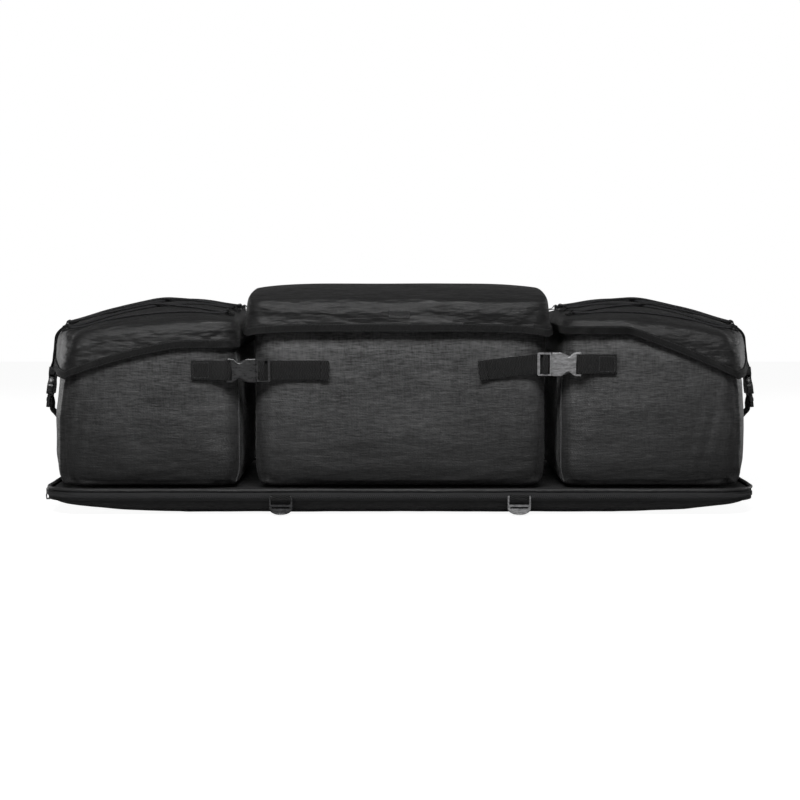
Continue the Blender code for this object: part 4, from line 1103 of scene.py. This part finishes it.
def topFrame(form, u, v):
    along = topPoint(form, u + 0.01, v) - topPoint(form, u - 0.01, v)
    across = topPoint(form, u, v + 0.01) - topPoint(form, u, v - 0.01)
    normal = along.cross(across).normalized()
    if normal.z < 0:
        normal.negate()
    rearward = normal.cross(along.normalized()).normalized()
    return (rearward if rearward.y > 0 else -rearward), normal


def makeBungee(name, node, side):
    form, points = sideForm(side, lidGrow), []
    lid = lidPieces["leftLid" if side < 0 else "rightLid"]
    cover = BVHTree.FromObject(lid, bpy.context.evaluated_depsgraph_get())
    for index, (edge, row, entry, leave) in enumerate(bungee["lacing"]):
        u, v = bungee["anchor"] * edge, bungee["rows"][row]
        rearward, normal = topFrame(form, u, v)
        center = topPoint(form, u, v) + normal * bungee["inLoop"]
        points += [center + rearward * (way * bungee["loopHalf"]) for way in (entry, leave)]
        nextEdge, nextRow, nextEntry, _ = bungee["lacing"][(index + 1) % 8]
        spread = bungee["loopHalf"] / form["halfY"]
        start = Vector((u, v + leave * spread))
        finish = Vector((bungee["anchor"] * nextEdge, bungee["rows"][nextRow] + nextEntry * spread))
        for share, hump in bungee["steps"]:
            atU, atV = start.lerp(finish, share)
            height = bungee["radius"] + bungee["off"]
            if index in bungee["over"]:
                height += hump * bungee["crossing"]
            top = topPoint(form, atU, atV)
            lying = cover.ray_cast(top + Vector((0, 0, 0.05)), Vector((0, 0, -1)))[0] or top
            points.append(lying + topFrame(form, atU, atV)[1] * height)
    ring = points + [points[0]]
    for _ in range(2):
        ring = [first.lerp(second, share) for first, second in zip(ring, ring[1:]) for share in (0.25, 0.75)]
        ring.append(ring[0].copy())
    line, length = evenLine(ring, 900)
    line[-1] = line[0].copy()
    made = keep(name, tubeMesh(line, bungee["radius"], bungee["sides"], True), braid)
    dress(made, node)
    return length


for side, word in ((-1, "left"), (1, "right")):
    length = makeBungee(word + "Bungee", word + "_bungee", side)
    print(f"cargo bag: {word} bungee, {length:.3f} m of cord")


# Hook and loop strips behind the centre valance
for name, node in (("bodyLoopStrip", "body_loop_strip"), ("lidHookStrip", "lid_hook_strip")):
    low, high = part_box(node)
    dress(keep(name, roundedBox(high - low, 0.0007, 2, (low + high) / 2), fuzz), node)


# Moulded and plated CAD pieces keep their shape and take these finishes, left and right
# The right front buckle and ladder-lock take the paler plastic, a painted highlight for the light falling on them
finishes = {"front_buckle_socket": ("bucklePlastic", "paintedLitPlastic"),
            "front_buckle_plug": ("bucklePlastic", "paintedLitPlastic"),
            "end_buckle_socket": ("lockPlastic", "lockPlastic"), "end_buckle_plug": ("lockPlastic", "lockPlastic"),
            "front_ladder_lock": ("lockPlastic", "paintedLitPlastic"), "rear_ladder_lock": ("lockPlastic", "lockPlastic")}
for piece, looks in finishes.items():
    for side, look in zip(("left", "right"), looks):
        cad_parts[f"{side}_{piece}"].material_slots[0].material = moulded[look]
for node in ("zip_slider", "zip_pull"):
    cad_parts[node].material_slots[0].material = moulded["zipMetal"]


# Floor, light and camera
studio = {"floor": (0.28, 0.28, 0.28), "floorLift": 0.94, "key": 26.0, "front": 4.0, "sides": 1.6, "rear": 5.0,
          "ambient": 0.035, "camera": (0.0, -2.805, 0.320), "aim": (0.0, -0.205, 0.1478), "lens": 91.3}


def aimed(made, place, aim):
    made.location = place
    made.rotation_euler = (Vector(aim) - Vector(place)).to_track_quat("-Z", "Y").to_euler()
    bpy.context.scene.collection.objects.link(made)


def makeStudio():
    mesh = bmesh.new()
    bmesh.ops.create_grid(mesh, x_segments=8, y_segments=8, size=4.0)
    floorPaint, tree, shader = startMaterial("paleFloor", Base_Color=(*studio["floor"], 1.0),
                                             Emission_Color=(1, 1, 1, 1))
    spread = noiseField(tree, bagPlace(tree), (3, 3, 3))
    plug(tree, shader.inputs["Roughness"], remap(tree, spread, 0.3, 0.7, 0.85, 0.95))
    seen = put(tree, "ShaderNodeLightPath").outputs["Is Camera Ray"]
    plug(tree, shader.inputs["Emission Strength"], calc(tree, "MULTIPLY", seen, studio["floorLift"]))
    floor = keep("floor", mesh, floorPaint)
    floor.data.transform(Matrix.Translation((0, 0, -0.0015)))

    world = bpy.data.worlds.new("studio")
    bpy.context.scene.world = world
    world.use_nodes = True
    tree = world.node_tree
    seen = put(tree, "ShaderNodeLightPath").outputs["Is Camera Ray"]
    back = tree.nodes["Background"]
    back.inputs["Color"].default_value = (1, 1, 1, 1)
    plug(tree, back.inputs["Strength"], remap(tree, seen, 0.0, 1.0, studio["ambient"], 1.0))

    for name, power, size, place, aim in (
            ("keyLight", studio["key"], (1.2, 0.5), (-0.12, -1.25, 1.25), (0, 0, 0.14)),
            ("frontLight", studio["front"], (2.2, 1.15), (0.1, -3.5, 0.64), (0, 0, 0.30)),
            ("rearLeftLight", studio["rear"], (1.0, 0.5), (-1.9, 1.7, 0.30), (0, 0.1, 0.12)),
            ("rearRightLight", studio["rear"], (1.0, 0.5), (1.9, 1.7, 0.30), (0, 0.1, 0.12)),
            ("leftLight", studio["sides"], (1.0, 1.4), (-2.4, -0.6, 1.0), (0, 0, 0.12)),
            ("rightLight", studio["sides"], (1.0, 1.4), (2.4, -0.6, 1.0), (0, 0, 0.12))):
        data = bpy.data.lights.new(name, "AREA")
        data.shape = "RECTANGLE"
        data.size, data.size_y = size
        data.energy = power
        aimed(bpy.data.objects.new(name, data), place, aim)

    data = bpy.data.cameras.new("camera")
    data.lens = studio["lens"]
    data.sensor_width = 36.0
    camera = bpy.data.objects.new("camera", data)
    aimed(camera, studio["camera"], studio["aim"])
    bpy.context.scene.camera = camera
    bpy.context.scene.view_settings.view_transform = "Standard"


makeStudio()


print("cargo bag: done")
